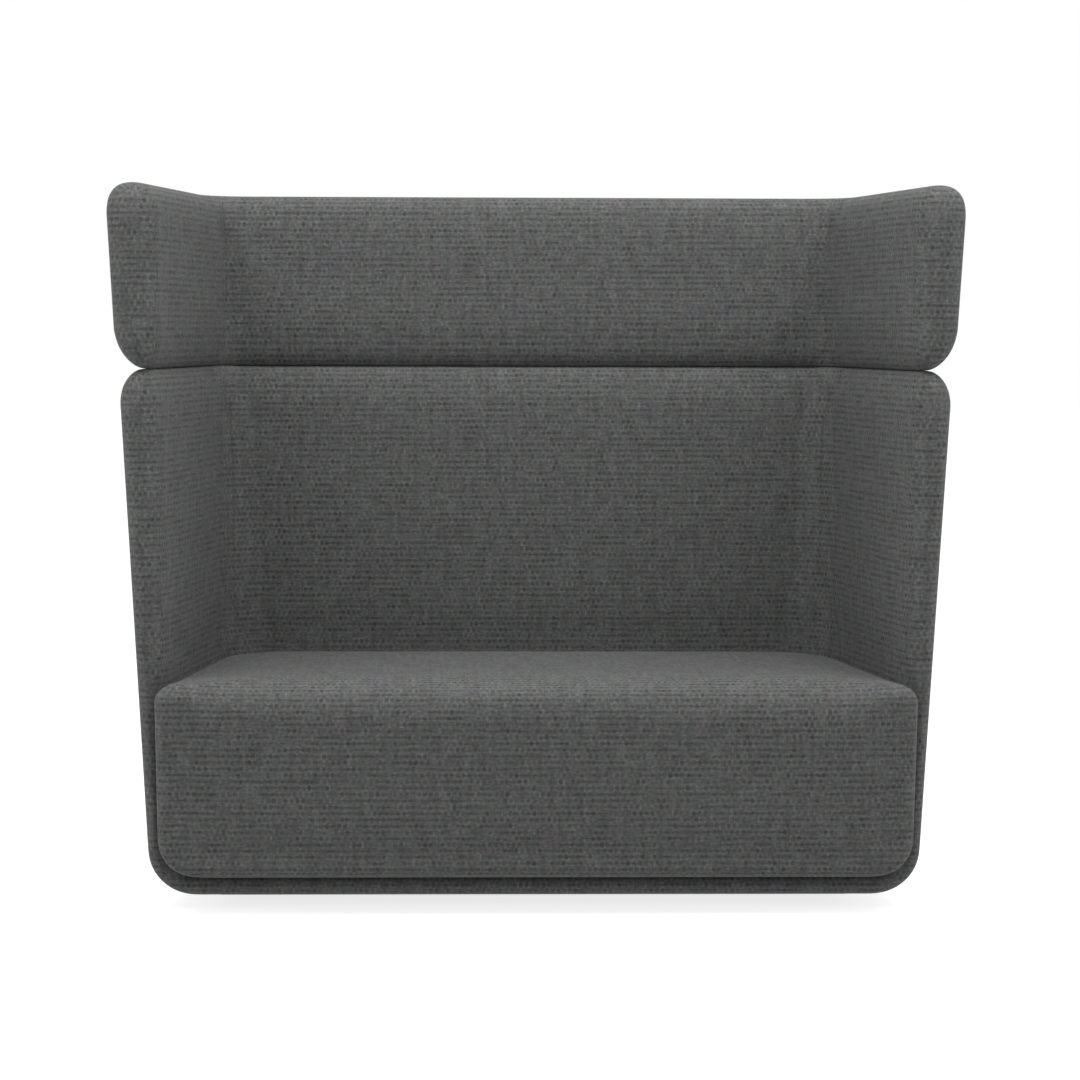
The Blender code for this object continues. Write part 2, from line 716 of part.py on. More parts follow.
def seat_levels(inset):
    """Outlines of the seat block from its underside over its edges to the crown."""
    low, high = SEAT_BOTTOM + inset, SEAT_EDGE_TOP - inset
    lap = SEAT_UNDERLAP
    rings = [seat_outline(low, SEAT_FOOT_RADIUS + lap, lap, SEAT_HEEL_RADIUS + lap)]
    for i in range(FOOT_STEPS + 1):
        angle = math.pi / 2 * i / FOOT_STEPS
        away = 1.0 - math.sin(angle)
        z = low + (SEAT_FOOT_RADIUS - inset) * (1.0 - math.cos(angle))
        edge = max(0.0, SEAT_EDGE_RADIUS - (z - low))
        rounded = SEAT_EDGE_RADIUS - math.sqrt(SEAT_EDGE_RADIUS**2 - edge**2)
        heel = SEAT_HEEL_RADIUS * away + inset
        rings.append(seat_outline(z, SEAT_FOOT_RADIUS * away + inset, rounded + inset, heel))
    for i in range(4):
        angle = math.pi / 2 * i / 3
        z = high - SEAT_FRONT_RADIUS * (1.0 - math.sin(angle))
        away = 1.0 - math.cos(angle)
        side = SEAT_EDGE_RADIUS * away + inset
        rings.append(seat_outline(z, side, SEAT_FRONT_RADIUS * away + inset, side))
    for share, rise in ((0.22, 0.55), (0.5, 0.9), (0.8, 1.0)):
        reach = SHELL.inner(high)[1] / 2 * share
        rings.append(seat_outline(high, reach, reach + inset, reach))
        for point in rings[-1]:
            point.z += SEAT_CROWN * rise
    return rings


def seat_body(inset, open_under):
    """Seat block through its outlines, open or closed underneath."""
    bm = bmesh.new()
    rows = [[bm.verts.new(p) for p in ring] for ring in seat_levels(inset)]
    for a, b in zip(rows, rows[1:]):
        for i in range(len(a)):
            j = (i + 1) % len(a)
            bm.faces.new((a[i], a[j], b[j], b[i]))
    bm.faces.new(rows[-1])
    if not open_under:
        bm.faces.new(rows[0])
    bmesh.ops.recalc_face_normals(bm, faces=bm.faces)
    return bm


def frame_span():
    """Front and rear of the seat frame."""
    front = ARM_FRONT_Y - SEAT_OVERHANG + SEAT_FRAME_INSET
    rear = ARM_FRONT_Y + SHELL.inner(FOOT_TOP)[1] - SEAT_FRAME_REAR
    return front, rear


def bolt_spots():
    """Places of the bolts that hold the seat frame down, one near each corner."""
    front, rear = frame_span()
    x = SEAT_FRAME_HALF - SEAT_FRAME_WIDTH / 2
    near = front + (rear - front) * 0.3
    far = front + (rear - front) * 0.8
    return {
        "front_left": Vector((-x, near, 0.0)),
        "front_right": Vector((x, near, 0.0)),
        "rear_left": Vector((-x, far, 0.0)),
        "rear_right": Vector((x, far, 0.0)),
    }


def build_seat(bench):
    """Seat frame, webbing, padding, cover and bolts."""
    front, rear = frame_span()
    middle = (FRAME_BOTTOM + FRAME_TOP) / 2
    wide = SEAT_FRAME_WIDTH
    deep = rear - front
    between = (front + rear) / 2
    inside = deep - 2 * wide - 2 * GAP
    rails = {}
    tall = SEAT_FRAME_HEIGHT
    along = (2 * SEAT_FRAME_HALF, wide, tall)
    side_x = SEAT_FRAME_HALF - wide / 2
    for name, size, centre in (
        ("seat_front_rail", along, (0, front + wide / 2, middle)),
        ("seat_rear_rail", along, (0, rear - wide / 2, middle)),
        ("seat_left_rail", (wide, inside, tall), (-side_x, between, middle)),
        ("seat_right_rail", (wide, inside, tall), (side_x, between, middle)),
        ("seat_centre_rail", (wide, inside, tall / 2), (0, between, FRAME_BOTTOM + tall / 4)),
    ):
        rails[name] = bench.piece(name, box(size, Vector((0, 0, 0))), TIMBER)
        rails[name].location = centre
    pitch = 2 * (SEAT_FRAME_HALF - wide) / STRAP_COUNT
    strap_z = FRAME_TOP + GAP + STRAP_THICKNESS / 2
    for i in range(STRAP_COUNT):
        x = (i + 0.5) * pitch - STRAP_COUNT * pitch / 2
        strap = bench.piece(f"webbing_strap_{i + 1}", box(
            (STRAP_WIDTH, deep, STRAP_THICKNESS), Vector((0, 0, 0))), WEBBING)
        strap.location = (x, between, strap_z)
    padding = bench.piece("seat_padding", seat_body(PAD_INSET, False), FOAM, smooth=True)
    low = FRAME_BOTTOM - OVERCUT
    high = FRAME_TOP + 2 * GAP + STRAP_THICKNESS
    room = (2 * (SEAT_FRAME_HALF + GAP), deep + 2 * GAP, high - low)
    hollow = box(room, Vector((0, between, (low + high) / 2)))
    cut(padding, bench.cutter("frame_hollow", hollow))
    cover = bench.piece("seat_cover", seat_body(0.0, True), FABRIC, smooth=True)
    thicken(cover, COVER)
    for name, spot in bolt_spots().items():
        cut(rails["seat_left_rail" if "left" in name else "seat_right_rail"],
            bpy.data.objects["bolt_hole_" + name])
        under = BASE_TOP - PANEL - GAP
        turned(bench, name + "_bolt", [
            (0.0, BASE_TOP + BOLT_GRIP),
            (BOLT_RADIUS, BASE_TOP + BOLT_GRIP),
            (BOLT_RADIUS, under),
            (BOLT_HEAD, under),
            (BOLT_HEAD, under - BOLT_HEAD_HEIGHT),
            (0.0, under - BOLT_HEAD_HEIGHT),
        ], False, STEEL, spot)


def main():
    """Builds every piece of the sofa."""
    bench = Bench()
    build_base(bench)
    build_glides(bench)
    build_walls(bench)
    build_headrest(bench)
    build_seat(bench)


main()
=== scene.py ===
"""Looks of a high-back sofa: padded shell, seat block and lift-off headrest in woven grey cloth."""

import logging
import math
from dataclasses import dataclass, field
from enum import Enum

import bmesh
import bpy
import numpy as np
from mathutils import Matrix, Vector


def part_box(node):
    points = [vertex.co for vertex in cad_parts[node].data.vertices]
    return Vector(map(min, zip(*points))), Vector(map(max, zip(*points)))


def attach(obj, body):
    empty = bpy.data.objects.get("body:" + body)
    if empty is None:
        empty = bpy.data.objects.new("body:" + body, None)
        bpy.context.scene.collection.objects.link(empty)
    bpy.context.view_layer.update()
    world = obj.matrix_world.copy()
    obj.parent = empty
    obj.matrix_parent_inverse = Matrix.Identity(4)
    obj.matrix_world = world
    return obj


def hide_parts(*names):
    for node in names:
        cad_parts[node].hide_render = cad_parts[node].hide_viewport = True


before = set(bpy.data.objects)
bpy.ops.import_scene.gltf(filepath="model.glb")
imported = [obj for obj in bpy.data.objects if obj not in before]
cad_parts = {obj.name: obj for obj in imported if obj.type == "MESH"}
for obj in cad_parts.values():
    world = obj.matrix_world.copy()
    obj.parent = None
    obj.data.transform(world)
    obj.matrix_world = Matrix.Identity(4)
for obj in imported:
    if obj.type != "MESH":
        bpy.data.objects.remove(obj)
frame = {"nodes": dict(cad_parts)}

LOG = logging.getLogger("high_back_sofa")
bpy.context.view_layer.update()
CLOTH_MAP = "cloth"
MID_GREY = (0.5, 0.5, 0.5)
DOUBLE = (2.0, 2.0, 2.0)
WHITE = (1.0, 1.0, 1.0, 1.0)
NOISE_SPAN = (0.3, 0.7)
TINY = 1e-9
PRESS_SHARE = 0.48

Colour = tuple[float, float, float]
Triple = tuple[float, float, float]
Span = tuple[float, float]
Socket = bpy.types.NodeSocket
Piece = bpy.types.Object
Material = bpy.types.Material


def ease(value: float, low: float, high: float) -> float:
    """Smooth rise between two values.

    Args:
        value: Where to read the rise.
        low: Value up to which it is 0.
        high: Value from which it is 1.

    Returns:
        The rise, from 0 to 1.
    """
    share = min(max((value - low) / (high - low), 0.0), 1.0)
    return share * share * (3.0 - 2.0 * share)


def lengths(points: np.ndarray, middle: int) -> np.ndarray:
    """Distances along lines of points, counted from the middle one.

    Args:
        points: Points along the first axis, one line or several side by side.
        middle: Number of the point to count from.

    Returns:
        The distance of each point.
    """
    steps = np.linalg.norm(np.diff(points, axis=0), axis=-1)
    run = np.concatenate([np.zeros_like(steps[:1]), np.cumsum(steps, axis=0)])
    return run - run[middle]


def deselect() -> None:
    """Leaves nothing selected, so that an operator acts on one piece alone."""
    bpy.ops.object.select_all(action="DESELECT")


def apply(piece: Piece, step: bpy.types.Modifier) -> None:
    """Applies one modifier of a piece.

    Args:
        piece: The piece.
        step: Its modifier.
    """
    deselect()
    bpy.context.view_layer.objects.active = piece
    bpy.ops.object.modifier_apply(modifier=step.name)


def read(mesh: bpy.types.Mesh, what: str) -> np.ndarray:
    """Reads a vector from every point of a mesh.

    Args:
        mesh: The mesh.
        what: "co" for the points' places, "normal" for their directions outwards.

    Returns:
        One row for each point.
    """
    found = np.empty(len(mesh.vertices) * 3)
    mesh.vertices.foreach_get(what, found)
    return found.reshape(-1, 3)


def place(mesh: bpy.types.Mesh, spots: np.ndarray) -> None:
    """Puts the points of a mesh in new places."""
    mesh.vertices.foreach_set("co", spots.ravel())
    mesh.update()


def sink(mesh: bpy.types.Mesh, along: np.ndarray, depth: float) -> None:
    """Presses each point of a cover in by its share of a depth, as a seam does."""
    place(mesh, read(mesh, "co") - read(mesh, "normal") * along[:, None] * depth)


def refine(piece: Piece) -> None:
    """Gives a cover one subdivision and applies it.

    Args:
        piece: The cover.
    """
    step = piece.modifiers.new("fine", "SUBSURF")
    step.levels = 1
    step.render_levels = 1
    apply(piece, step)
    piece.data.shade_smooth()


class Graph:
    """Wires the nodes of one finish round a Principled shader."""

    def __init__(self, name: str) -> None:
        """Makes the material, with nothing but its shader.

        Args:
            name: The material's name.
        """
        self.material = bpy.data.materials.new(name)
        self.material.use_nodes = True
        self.tree = self.material.node_tree
        self.shader = self.tree.nodes["Principled BSDF"]

    def add(self, kind: str, **settings: object) -> bpy.types.Node:
        """Adds a node.

        Args:
            kind: The node's type.
            **settings: The node's own settings by name.

        Returns:
            The new node.
        """
        made = self.tree.nodes.new(kind)
        for key, value in settings.items():
            setattr(made, key, value)
        return made

    def feed(self, socket: Socket, value: object) -> None:
        """Links another socket to this one, or types a plain value into it.

        Args:
            socket: The socket to fill.
            value: A socket to link or a value to type in.
        """
        if isinstance(value, Socket):
            self.tree.links.new(value, socket)
        else:
            socket.default_value = value

    def shade(self, name: str, value: object) -> None:
        """Feeds one of the shader's own sockets."""
        self.feed(self.shader.inputs[name], value)

    def maths(self, operation: str, first: object, second: object = 0.0) -> Socket:
        """Works out one sum on two values.

        Args:
            operation: The Math node's operation.
            first: A socket or a number.
            second: A socket or a number.

        Returns:
            The socket that holds the result.
        """
        made = self.add("ShaderNodeMath", operation=operation)
        self.feed(made.inputs[0], first)
        self.feed(made.inputs[1], second)
        return made.outputs[0]

    def times(self, first: object, second: object) -> Socket:
        """Product of two values."""
        return self.maths("MULTIPLY", first, second)

    def plus(self, first: object, second: object) -> Socket:
        """Sum of two values."""
        return self.maths("ADD", first, second)

    def step(self, value: Socket, low: object, high: object, start: float = 0.0,
             end: float = 1.0) -> Socket:
        """Maps a value smoothly from one span to another.

        Args:
            value: The socket to map.
            low: Where the result is start.
            high: Where the result is end.
            start: Result at the low end.
            end: Result at the high end.

        Returns:
            The socket that holds the mapped value.
        """
        made = self.add("ShaderNodeMapRange", interpolation_type="SMOOTHSTEP")
        for index, given in enumerate((value, low, high, start, end)):
            self.feed(made.inputs[index], given)
        return made.outputs[0]

    def split(self, where: Socket) -> tuple[Socket, Socket]:
        """First two parts of a position.

        Args:
            where: Socket of the position.

        Returns:
            The sockets of the two parts.
        """
        made = self.add("ShaderNodeSeparateXYZ")
        self.feed(made.inputs[0], where)
        return made.outputs[0], made.outputs[1]

    def join(self, *parts: object) -> Socket:
        """Puts a position or a colour together.

        Args:
            *parts: Up to three sockets or numbers.

        Returns:
            The socket of the whole.
        """
        made = self.add("ShaderNodeCombineXYZ")
        for index, part in enumerate(parts):
            self.feed(made.inputs[index], part)
        return made.outputs[0]

    def chance(self, first: object, second: object) -> Socket:
        """Fixed random value for a pair of whole numbers.

        Args:
            first: First number.
            second: Second number.

        Returns:
            The socket of a value from 0 to 1.
        """
        made = self.add("ShaderNodeTexWhiteNoise", noise_dimensions="2D")
        self.feed(made.inputs["Vector"], self.join(first, second))
        return made.outputs["Value"]

    def noise(self, where: Socket, scale: float, detail: float = 2.0, stretch: Triple = (1.0, 1.0, 1.0),
              output: str = "Fac") -> Socket:
        """Noise over a position, stretched along its axes.

        Args:
            where: Socket of the position.
            scale: Waves per metre.
            detail: Number of finer octaves.
            stretch: Factor on each axis of the position.
            output: "Fac" for a value, "Color" for a colour.

        Returns:
            The socket of the noise.
        """
        mapped = self.add("ShaderNodeMapping")
        self.feed(mapped.inputs["Vector"], where)
        mapped.inputs["Scale"].default_value = stretch
        made = self.add("ShaderNodeTexNoise")
        self.feed(made.inputs["Vector"], mapped.outputs[0])
        made.inputs["Scale"].default_value = scale
        made.inputs["Detail"].default_value = detail
        return made.outputs[output]

    def blend(self, share: object, low: object, high: object, mode: str = "MIX") -> Socket:
        """Mixes two colours.

        Args:
            share: How much of the second colour, as a socket or a number.
            low: First colour.
            high: Second colour.
            mode: The Mix node's blend type.

        Returns:
            The socket of the mixed colour.
        """
        made = self.add("ShaderNodeMix", data_type="RGBA", blend_type=mode)
        self.feed(made.inputs[0], share)
        for index, given in ((6, low), (7, high)):
            self.feed(made.inputs[index], (*given, 1.0) if isinstance(given, tuple) else given)
        return made.outputs[2]

    def raise_surface(self, height: Socket, distance: float, strength: float) -> None:
        """Lets a height stand out from the surface.

        Args:
            height: Height at each point, from 0 to 1.
            distance: How far a height of 1 stands out.
            strength: Strength of the relief.
        """
        made = self.add("ShaderNodeBump")
        made.inputs["Distance"].default_value = distance
        made.inputs["Strength"].default_value = strength
        self.feed(made.inputs["Height"], height)
        self.shade("Normal", made.outputs[0])

    def place(self) -> Socket:
        """Position on the piece, in metres."""
        return self.add("ShaderNodeTexCoord").outputs["Object"]


@dataclass(frozen=True)
class Finish:
    """A named material; each finish wires it in its own way."""

    name: str

    def wire(self, graph: Graph) -> None:
        """Wires the finish."""
        raise NotImplementedError

    def build(self) -> Material:
        """Makes the material.

        Returns:
            The finished material.
        """
        graph = Graph(self.name)
        self.wire(graph)
        return graph.material


@dataclass(frozen=True)
class WovenCloth(Finish):
    """Grey wool cloth: dark gaps laid like bricks between thick yarns, uneven runs and a fine relief."""

    name: str = "woven_grey_cloth"
    ground: Colour = (0.160, 0.162, 0.160)
    dark: Colour = (0.078, 0.079, 0.079)
    pale: Colour = (0.222, 0.226, 0.223)
    row_pitch: float = 0.0117
    gap_pitch: float = 0.0108
    gap_squeeze: float = 0.85
    gap_least: float = 0.04
    gap_vary: float = 0.16
    gap_soft: float = 0.26
    gap_depth: Span = (0.05, 0.88)
    run_waves: float = 28.0
    run_apart: float = 7.3
    run_span: Span = (0.35, 0.65)
    run_depth: Span = (0.70, 1.10)
    row_shadow_span: Span = (0.05, 0.36)
    row_shadow_depth: Span = (0.10, 0.60)
    yarn_span: Span = (0.22, 0.48)
    yarn_share: float = 0.9
    mottle_waves: float = 38.0
    mottle_share: float = 0.13
    slub_waves: Triple = (30.0, 210.0, 1.0)
    slub_span: Span = (0.35, 0.75)
    slub_share: float = 0.40
    streak_waves: Triple = (95.0, 15.0, 1.0)
    streak_lift: Span = (0.88, 1.12)
    fuzz_waves: Triple = (130.0, 200.0, 1.0)
    fuzz_lift: Span = (0.82, 1.18)
    lift_span: Span = (0.25, 0.75)
    thread_pitch: float = 0.0018
    weft_share: float = 0.75
    thread_height: float = 0.2
    yarn_height: float = 0.4
    gap_height: float = 0.6
    relief: float = 0.0010
    relief_strength: float = 0.4
    roughness: Span = (0.86, 0.97)
    sheen: float = 0.13
    sheen_roughness: float = 0.28
    sheen_tint: Colour = (0.80, 0.82, 0.80)
    gloss: float = 0.15

    def cells(self, graph: Graph, along: Socket, across: Socket) -> tuple[Socket, ...]:
        """Splits the cloth into rows of cells, every other row shifted by half a cell.

        Args:
            graph: The finish being wired.
            along: Cloth position along the rows.
            across: Cloth position across the rows.

        Returns:
            Sockets of the distances from the cell's middle along and across, two chances and the row.
        """
        rows = graph.maths("DIVIDE", across, self.row_pitch)
        row = graph.maths("FLOOR", rows)
        odd = graph.maths("FRACT", graph.times(row, 0.5))
        shifted = graph.plus(graph.maths("DIVIDE", along, self.gap_pitch), odd)
        cell = graph.maths("FLOOR", shifted)
        parts = [graph.maths("FRACT", whole) for whole in (shifted, rows)]
        inside, aside = (graph.maths("ABSOLUTE", graph.maths("SUBTRACT", part, 0.5)) for part in parts)
        return inside, aside, graph.chance(cell, row), graph.chance(row, cell), row

    def weave(self, graph: Graph, along: Socket, across: Socket) -> tuple[Socket, Socket]:
        """Lays the dark gaps, the painted shadow along each row and the pale yarn between the gaps.

        Args:
            graph: The finish being wired.
            along: Cloth position along the rows.
            across: Cloth position across the rows.

        Returns:
            Sockets of the share of dark gap, with the painted shadow along each row in it, and of the
            share of pale yarn.
        """
        inside, aside, wide, deep, row = self.cells(graph, along, across)
        long = graph.times(inside, self.gap_squeeze)
        far = graph.maths("SQRT", graph.plus(graph.times(long, long), graph.times(aside, aside)))
        reach = graph.plus(graph.times(wide, self.gap_vary), self.gap_least)
        gap = graph.step(far, reach, graph.plus(reach, self.gap_soft), 1.0, 0.0)
        spread = graph.join(graph.times(along, self.run_waves), graph.times(row, self.run_apart))
        run = graph.noise(spread, 1.0, 1.0)
        depth = graph.times(graph.step(deep, 0.0, 1.0, *self.gap_depth),
                            graph.step(run, *self.run_span, *self.run_depth))
        # Painted shadow along the middle of each row, deeper where the run is deep.
        line = graph.times(graph.step(aside, *self.row_shadow_span, 1.0, 0.0),
                           graph.step(run, *self.run_span, *self.row_shadow_depth))
        yarn = graph.times(graph.step(inside, *self.yarn_span), wide)
        return graph.maths("MAXIMUM", graph.times(gap, depth), line), yarn

    def dye(self, graph: Graph, cloth: Socket, gap: Socket, yarn: Socket) -> Socket:
        """Colours the cloth, with mottle, slubs, streaks and fuzz.

        Args:
            graph: The finish being wired.
            cloth: Position on the cloth.
            gap: Share of dark gap, with the painted shadow along each row.
            yarn: Share of pale yarn.

        Returns:
            The socket of the colour.
        """
        mottle = graph.noise(cloth, self.mottle_waves, 2.0, output="Color")
        slub = graph.noise(cloth, 1.0, 3.0, self.slub_waves)
        streak = graph.noise(cloth, 1.0, 2.0, self.streak_waves)
        fuzz = graph.noise(cloth, 1.0, 1.0, self.fuzz_waves)
        tint = graph.blend(1.0, graph.blend(self.mottle_share, MID_GREY, mottle), DOUBLE, "MULTIPLY")
        colour = graph.blend(1.0, self.ground, tint, "MULTIPLY")
        colour = graph.blend(graph.times(yarn, self.yarn_share), colour, self.pale)
        colour = graph.blend(graph.step(slub, *self.slub_span, 0.0, self.slub_share), colour, self.dark)
        # Darkens the gaps and paints the shadow along each row.
        colour = graph.blend(gap, colour, self.dark)
        lift = graph.times(graph.step(streak, *self.lift_span, *self.streak_lift),
                           graph.step(fuzz, *self.lift_span, *self.fuzz_lift))
        return graph.blend(1.0, colour, graph.join(lift, lift, lift), "MULTIPLY")

    def wire(self, graph: Graph) -> None:
        """Wires the cloth.

        Args:
            graph: The finish being wired.
        """
        cloth = graph.add("ShaderNodeUVMap", uv_map=CLOTH_MAP).outputs[0]
        along, across = graph.split(cloth)
        gap, yarn = self.weave(graph, along, across)
        graph.shade("Base Color", self.dye(graph, cloth, gap, yarn))
        turn = math.tau / self.thread_pitch
        warp = graph.maths("SINE", graph.times(along, turn))
        weft = graph.maths("SINE", graph.times(across, turn * self.weft_share))
        thread = graph.plus(graph.times(graph.times(warp, weft), self.thread_height), 0.5)
        height = graph.maths("SUBTRACT", graph.plus(thread, graph.times(yarn, self.yarn_height)),
                             graph.times(gap, self.gap_height))
        graph.raise_surface(height, self.relief, self.relief_strength)
        graph.shade("Roughness", graph.step(gap, 0.0, 1.0, *self.roughness))
        graph.shade("Sheen Weight", self.sheen)
        graph.shade("Sheen Roughness", self.sheen_roughness)
        graph.shade("Sheen Tint", (*self.sheen_tint, 1.0))
        graph.shade("Specular IOR Level", self.gloss)


@dataclass(frozen=True)
class Wood(Finish):
    """Planed timber or plywood with grain along one axis."""

    pale: Colour
    dark: Colour
    stretch: Triple
    rings: float
    ring_span: Span = (0.35, 0.65)
    pores: float = 9.0
    pore_span: Span = (0.60, 0.75)
    pore_share: float = 0.5
    roughness: Span = (0.55, 0.75)
    relief: float = 0.0004
    relief_strength: float = 0.4

    def wire(self, graph: Graph) -> None:
        """Wires the wood.

        Args:
            graph: The finish being wired.
        """
        where = graph.place()
        grain = graph.noise(where, self.rings, 4.0, self.stretch)
        pores = graph.noise(where, self.rings * self.pores, 2.0, self.stretch)
        colour = graph.blend(graph.step(grain, *self.ring_span), self.pale, self.dark)
        colour = graph.blend(graph.step(pores, *self.pore_span, 0.0, self.pore_share), colour, self.dark)
        graph.shade("Base Color", colour)
        graph.shade("Roughness", graph.step(pores, *NOISE_SPAN, *self.roughness))
        graph.raise_surface(pores, self.relief, self.relief_strength)


@dataclass(frozen=True)
class Steel(Finish):
    """Brushed bare steel."""

    name: str = "brushed_steel"
    bright: Colour = (0.62, 0.63, 0.65)
    dull: Colour = (0.46, 0.47, 0.49)
    waves: float = 900.0
    stretch: Triple = (1.0, 1.0, 0.03)
    roughness: Span = (0.28, 0.46)
    relief: float = 0.0001
    relief_strength: float = 0.3

    def wire(self, graph: Graph) -> None:
        """Wires the steel.

        Args:
            graph: The finish being wired.
        """
        brushed = graph.noise(graph.place(), self.waves, 2.0, self.stretch)
        graph.shade("Base Color", graph.blend(brushed, self.dull, self.bright))
        graph.shade("Roughness", graph.step(brushed, *NOISE_SPAN, *self.roughness))
        graph.raise_surface(brushed, self.relief, self.relief_strength)
        graph.shade("Metallic", 1.0)


@dataclass(frozen=True)
class Moulding(Finish):
    """Moulded black nylon with a fine spark texture."""

    name: str = "black_nylon"
    colour: Colour = (0.022, 0.022, 0.023)
    worn: Colour = (0.055, 0.055, 0.056)
    spark_waves: float = 1800.0
    scuff_waves: float = 140.0
    scuff_span: Span = (0.55, 0.75)
    rub_span: Span = (0.3, 0.8)
    roughness: Span = (0.42, 0.62)
    relief: float = 0.0002
    relief_strength: float = 0.35

    def wire(self, graph: Graph) -> None:
        """Wires the nylon.

        Args:
            graph: The finish being wired.
        """
        where = graph.place()
        spark = graph.noise(where, self.spark_waves)
        scuff = graph.noise(where, self.scuff_waves, 4.0)
        worn = graph.step(scuff, *self.scuff_span)
        graph.shade("Base Color", graph.blend(worn, self.colour, self.worn))
        graph.shade("Roughness", graph.step(scuff, *self.rub_span, *self.roughness))
        graph.raise_surface(spark, self.relief, self.relief_strength)


@dataclass(frozen=True)
class Fleece(Finish):
    """Black bonded fleece of the dust cover, with its dotted press marks."""

    name: str = "bonded_fleece"
    colour: Colour = (0.016, 0.016, 0.017)
    fibre: Colour = (0.050, 0.050, 0.052)
    fibre_waves: float = 700.0
    dot_pitch: float = 0.0035
    dot_span: Span = (0.15, 0.35)
    roughness: Span = (0.6, 0.95)
    relief: float = 0.0005
    relief_strength: float = 0.6

    def wire(self, graph: Graph) -> None:
        """Wires the fleece.

        Args:
            graph: The finish being wired.
        """
        where = graph.place()
        dots = graph.add("ShaderNodeTexVoronoi")
        graph.feed(dots.inputs["Vector"], where)
        dots.inputs["Scale"].default_value = 1.0 / self.dot_pitch
        dots.inputs["Randomness"].default_value = 0.0
        pressed = graph.step(dots.outputs["Distance"], *self.dot_span)
        fibres = graph.times(graph.noise(where, self.fibre_waves, 5.0), pressed)
        graph.shade("Base Color", graph.blend(fibres, self.colour, self.fibre))
        graph.shade("Roughness", graph.step(pressed, 0.0, 1.0, *self.roughness))
        graph.raise_surface(fibres, self.relief, self.relief_strength)


@dataclass(frozen=True)
class Webbing(Finish):
    """Jute webbing in a plain weave."""

    name: str = "jute_webbing"
    jute: Colour = (0.34, 0.27, 0.17)
    shade: Colour = (0.17, 0.13, 0.08)
    pitch: float = 0.0024
    cover_span: Span = (-0.6, 0.6)
    hair_waves: float = 420.0
    roughness: Span = (0.80, 0.95)
    relief: float = 0.0006
    relief_strength: float = 0.7

    def wire(self, graph: Graph) -> None:
        """Wires the webbing.

        Args:
            graph: The finish being wired.
        """
        where = graph.place()
        turn = math.tau / self.pitch
        warp, weft = (graph.maths("SINE", graph.times(part, turn)) for part in graph.split(where))
        cover = graph.step(graph.times(warp, weft), *self.cover_span)
        hairs = graph.noise(where, self.hair_waves, 4.0)
        graph.shade("Base Color", graph.blend(graph.times(cover, hairs), self.shade, self.jute))
        graph.shade("Roughness", graph.step(hairs, *NOISE_SPAN, *self.roughness))
        graph.raise_surface(cover, self.relief, self.relief_strength)


class Patchwork:
    """Gathers the points, faces and cloth positions of one cover before it becomes a mesh."""

    def __init__(self) -> None:
        """Starts with nothing cut."""
        self.points: list[np.ndarray] = []
        self.faces: list[list[int]] = []
        self.cloth: list[Span] = []

    def point(self, spot: np.ndarray) -> int:
        """Adds a point and gives its number."""
        self.points.append(spot)
        return len(self.points) - 1

    def face(self, corners: list[int], cloth: list[Span]) -> None:
        """Adds a face, leaving out corners that meet in one point.

        Args:
            corners: Numbers of the face's points.
            cloth: Cloth position of each corner, in metres.
        """
        kept = [i for i in range(len(corners)) if corners[i] != corners[i - 1]]
        if len(kept) > 2:
            self.faces.append([corners[i] for i in kept])
            self.cloth.extend(cloth[i] for i in kept)

    def piece(self, name: str) -> Piece:
        """Makes the cover an object with smooth faces that point outwards.

        Args:
            name: The piece's name.

        Returns:
            The new object, at the origin.
        """
        mesh = bpy.data.meshes.new(name)
        mesh.from_pydata([tuple(p) for p in self.points], [], self.faces)
        layer = mesh.uv_layers.new(name=CLOTH_MAP)
        layer.data.foreach_set("uv", np.array(self.cloth, np.float32).ravel())
        shape = bmesh.new()
        shape.from_mesh(mesh)
        bmesh.ops.recalc_face_normals(shape, faces=shape.faces)
        shape.to_mesh(mesh)
        shape.free()
        mesh.shade_smooth()
        made = bpy.data.objects.new(name, mesh)
        bpy.context.scene.collection.objects.link(made)
        return made


@dataclass(frozen=True)
class Stuffing:
    """How a cover fills out over its foam: pressed from inside and held where it is sewn or rests."""

    pressure: float = 4.0
    cap: float = 0.005
    start_inset: float = 0.002
    frames: int = 20
    quality: int = 6
    mass: float = 0.4
    bending: float = 2.0

    def swell(self, piece: Piece, free: np.ndarray) -> None:
        """Runs the cloth under pressure and keeps the shape it takes.

        Args:
            piece: Closed cover, at the origin.
            free: How freely each point may move, from 0 (held) to 1.
        """
        held = piece.vertex_groups.new(name="held")
        for index, loose in enumerate(free):
            held.add([index], 1.0 - float(loose), "REPLACE")
        step = piece.modifiers.new("stuffing", "CLOTH")
        step.settings.effector_weights.gravity = 0.0
        step.settings.use_pressure = True
        step.settings.uniform_pressure_force = self.pressure
        step.settings.quality = self.quality
        step.settings.mass = self.mass
        step.settings.vertex_group_mass = held.name
        step.settings.bending_stiffness = self.bending
        step.point_cache.frame_start = 1
        step.point_cache.frame_end = self.frames
        for number in range(1, self.frames + 1):
            bpy.context.scene.frame_set(number)
        apply(piece, step)

    def fill(self, piece: Piece, free: np.ndarray) -> None:
        """Draws the cover in a little, then lets it swell by no more than the cap.

        Args:
            piece: Closed cover, at the origin.
            free: How freely each point may move, from 0 (held) to 1.
        """
        mesh = piece.data
        start = read(mesh, "co") - read(mesh, "normal") * (self.start_inset * free)[:, None]
        place(mesh, start)
        self.swell(piece, free)
        moved = read(mesh, "co") - start
        far = np.maximum(np.linalg.norm(moved, axis=1), TINY)
        share = self.cap * np.tanh(far / self.cap) / far * free
        place(mesh, start + moved * share[:, None])
        bpy.context.scene.frame_set(1)
        piece.vertex_groups.clear()


class Run(Enum):
    """Lengths of a wall seen in plan."""

    FRONT = "rounded front end of an arm"
    ARM = "straight of an arm"
    TURN = "round corner"
    BACK = "straight of the back"


class Zone(Enum):
    """Lengths of a wall seen in section, from the floor up."""

    FLAT = "underside of the foot"
    ARC = "round of the foot"
    ROLL = "rounded lower edge"
    WALL = "upright face"
    CROWN = "rounded upper edge"


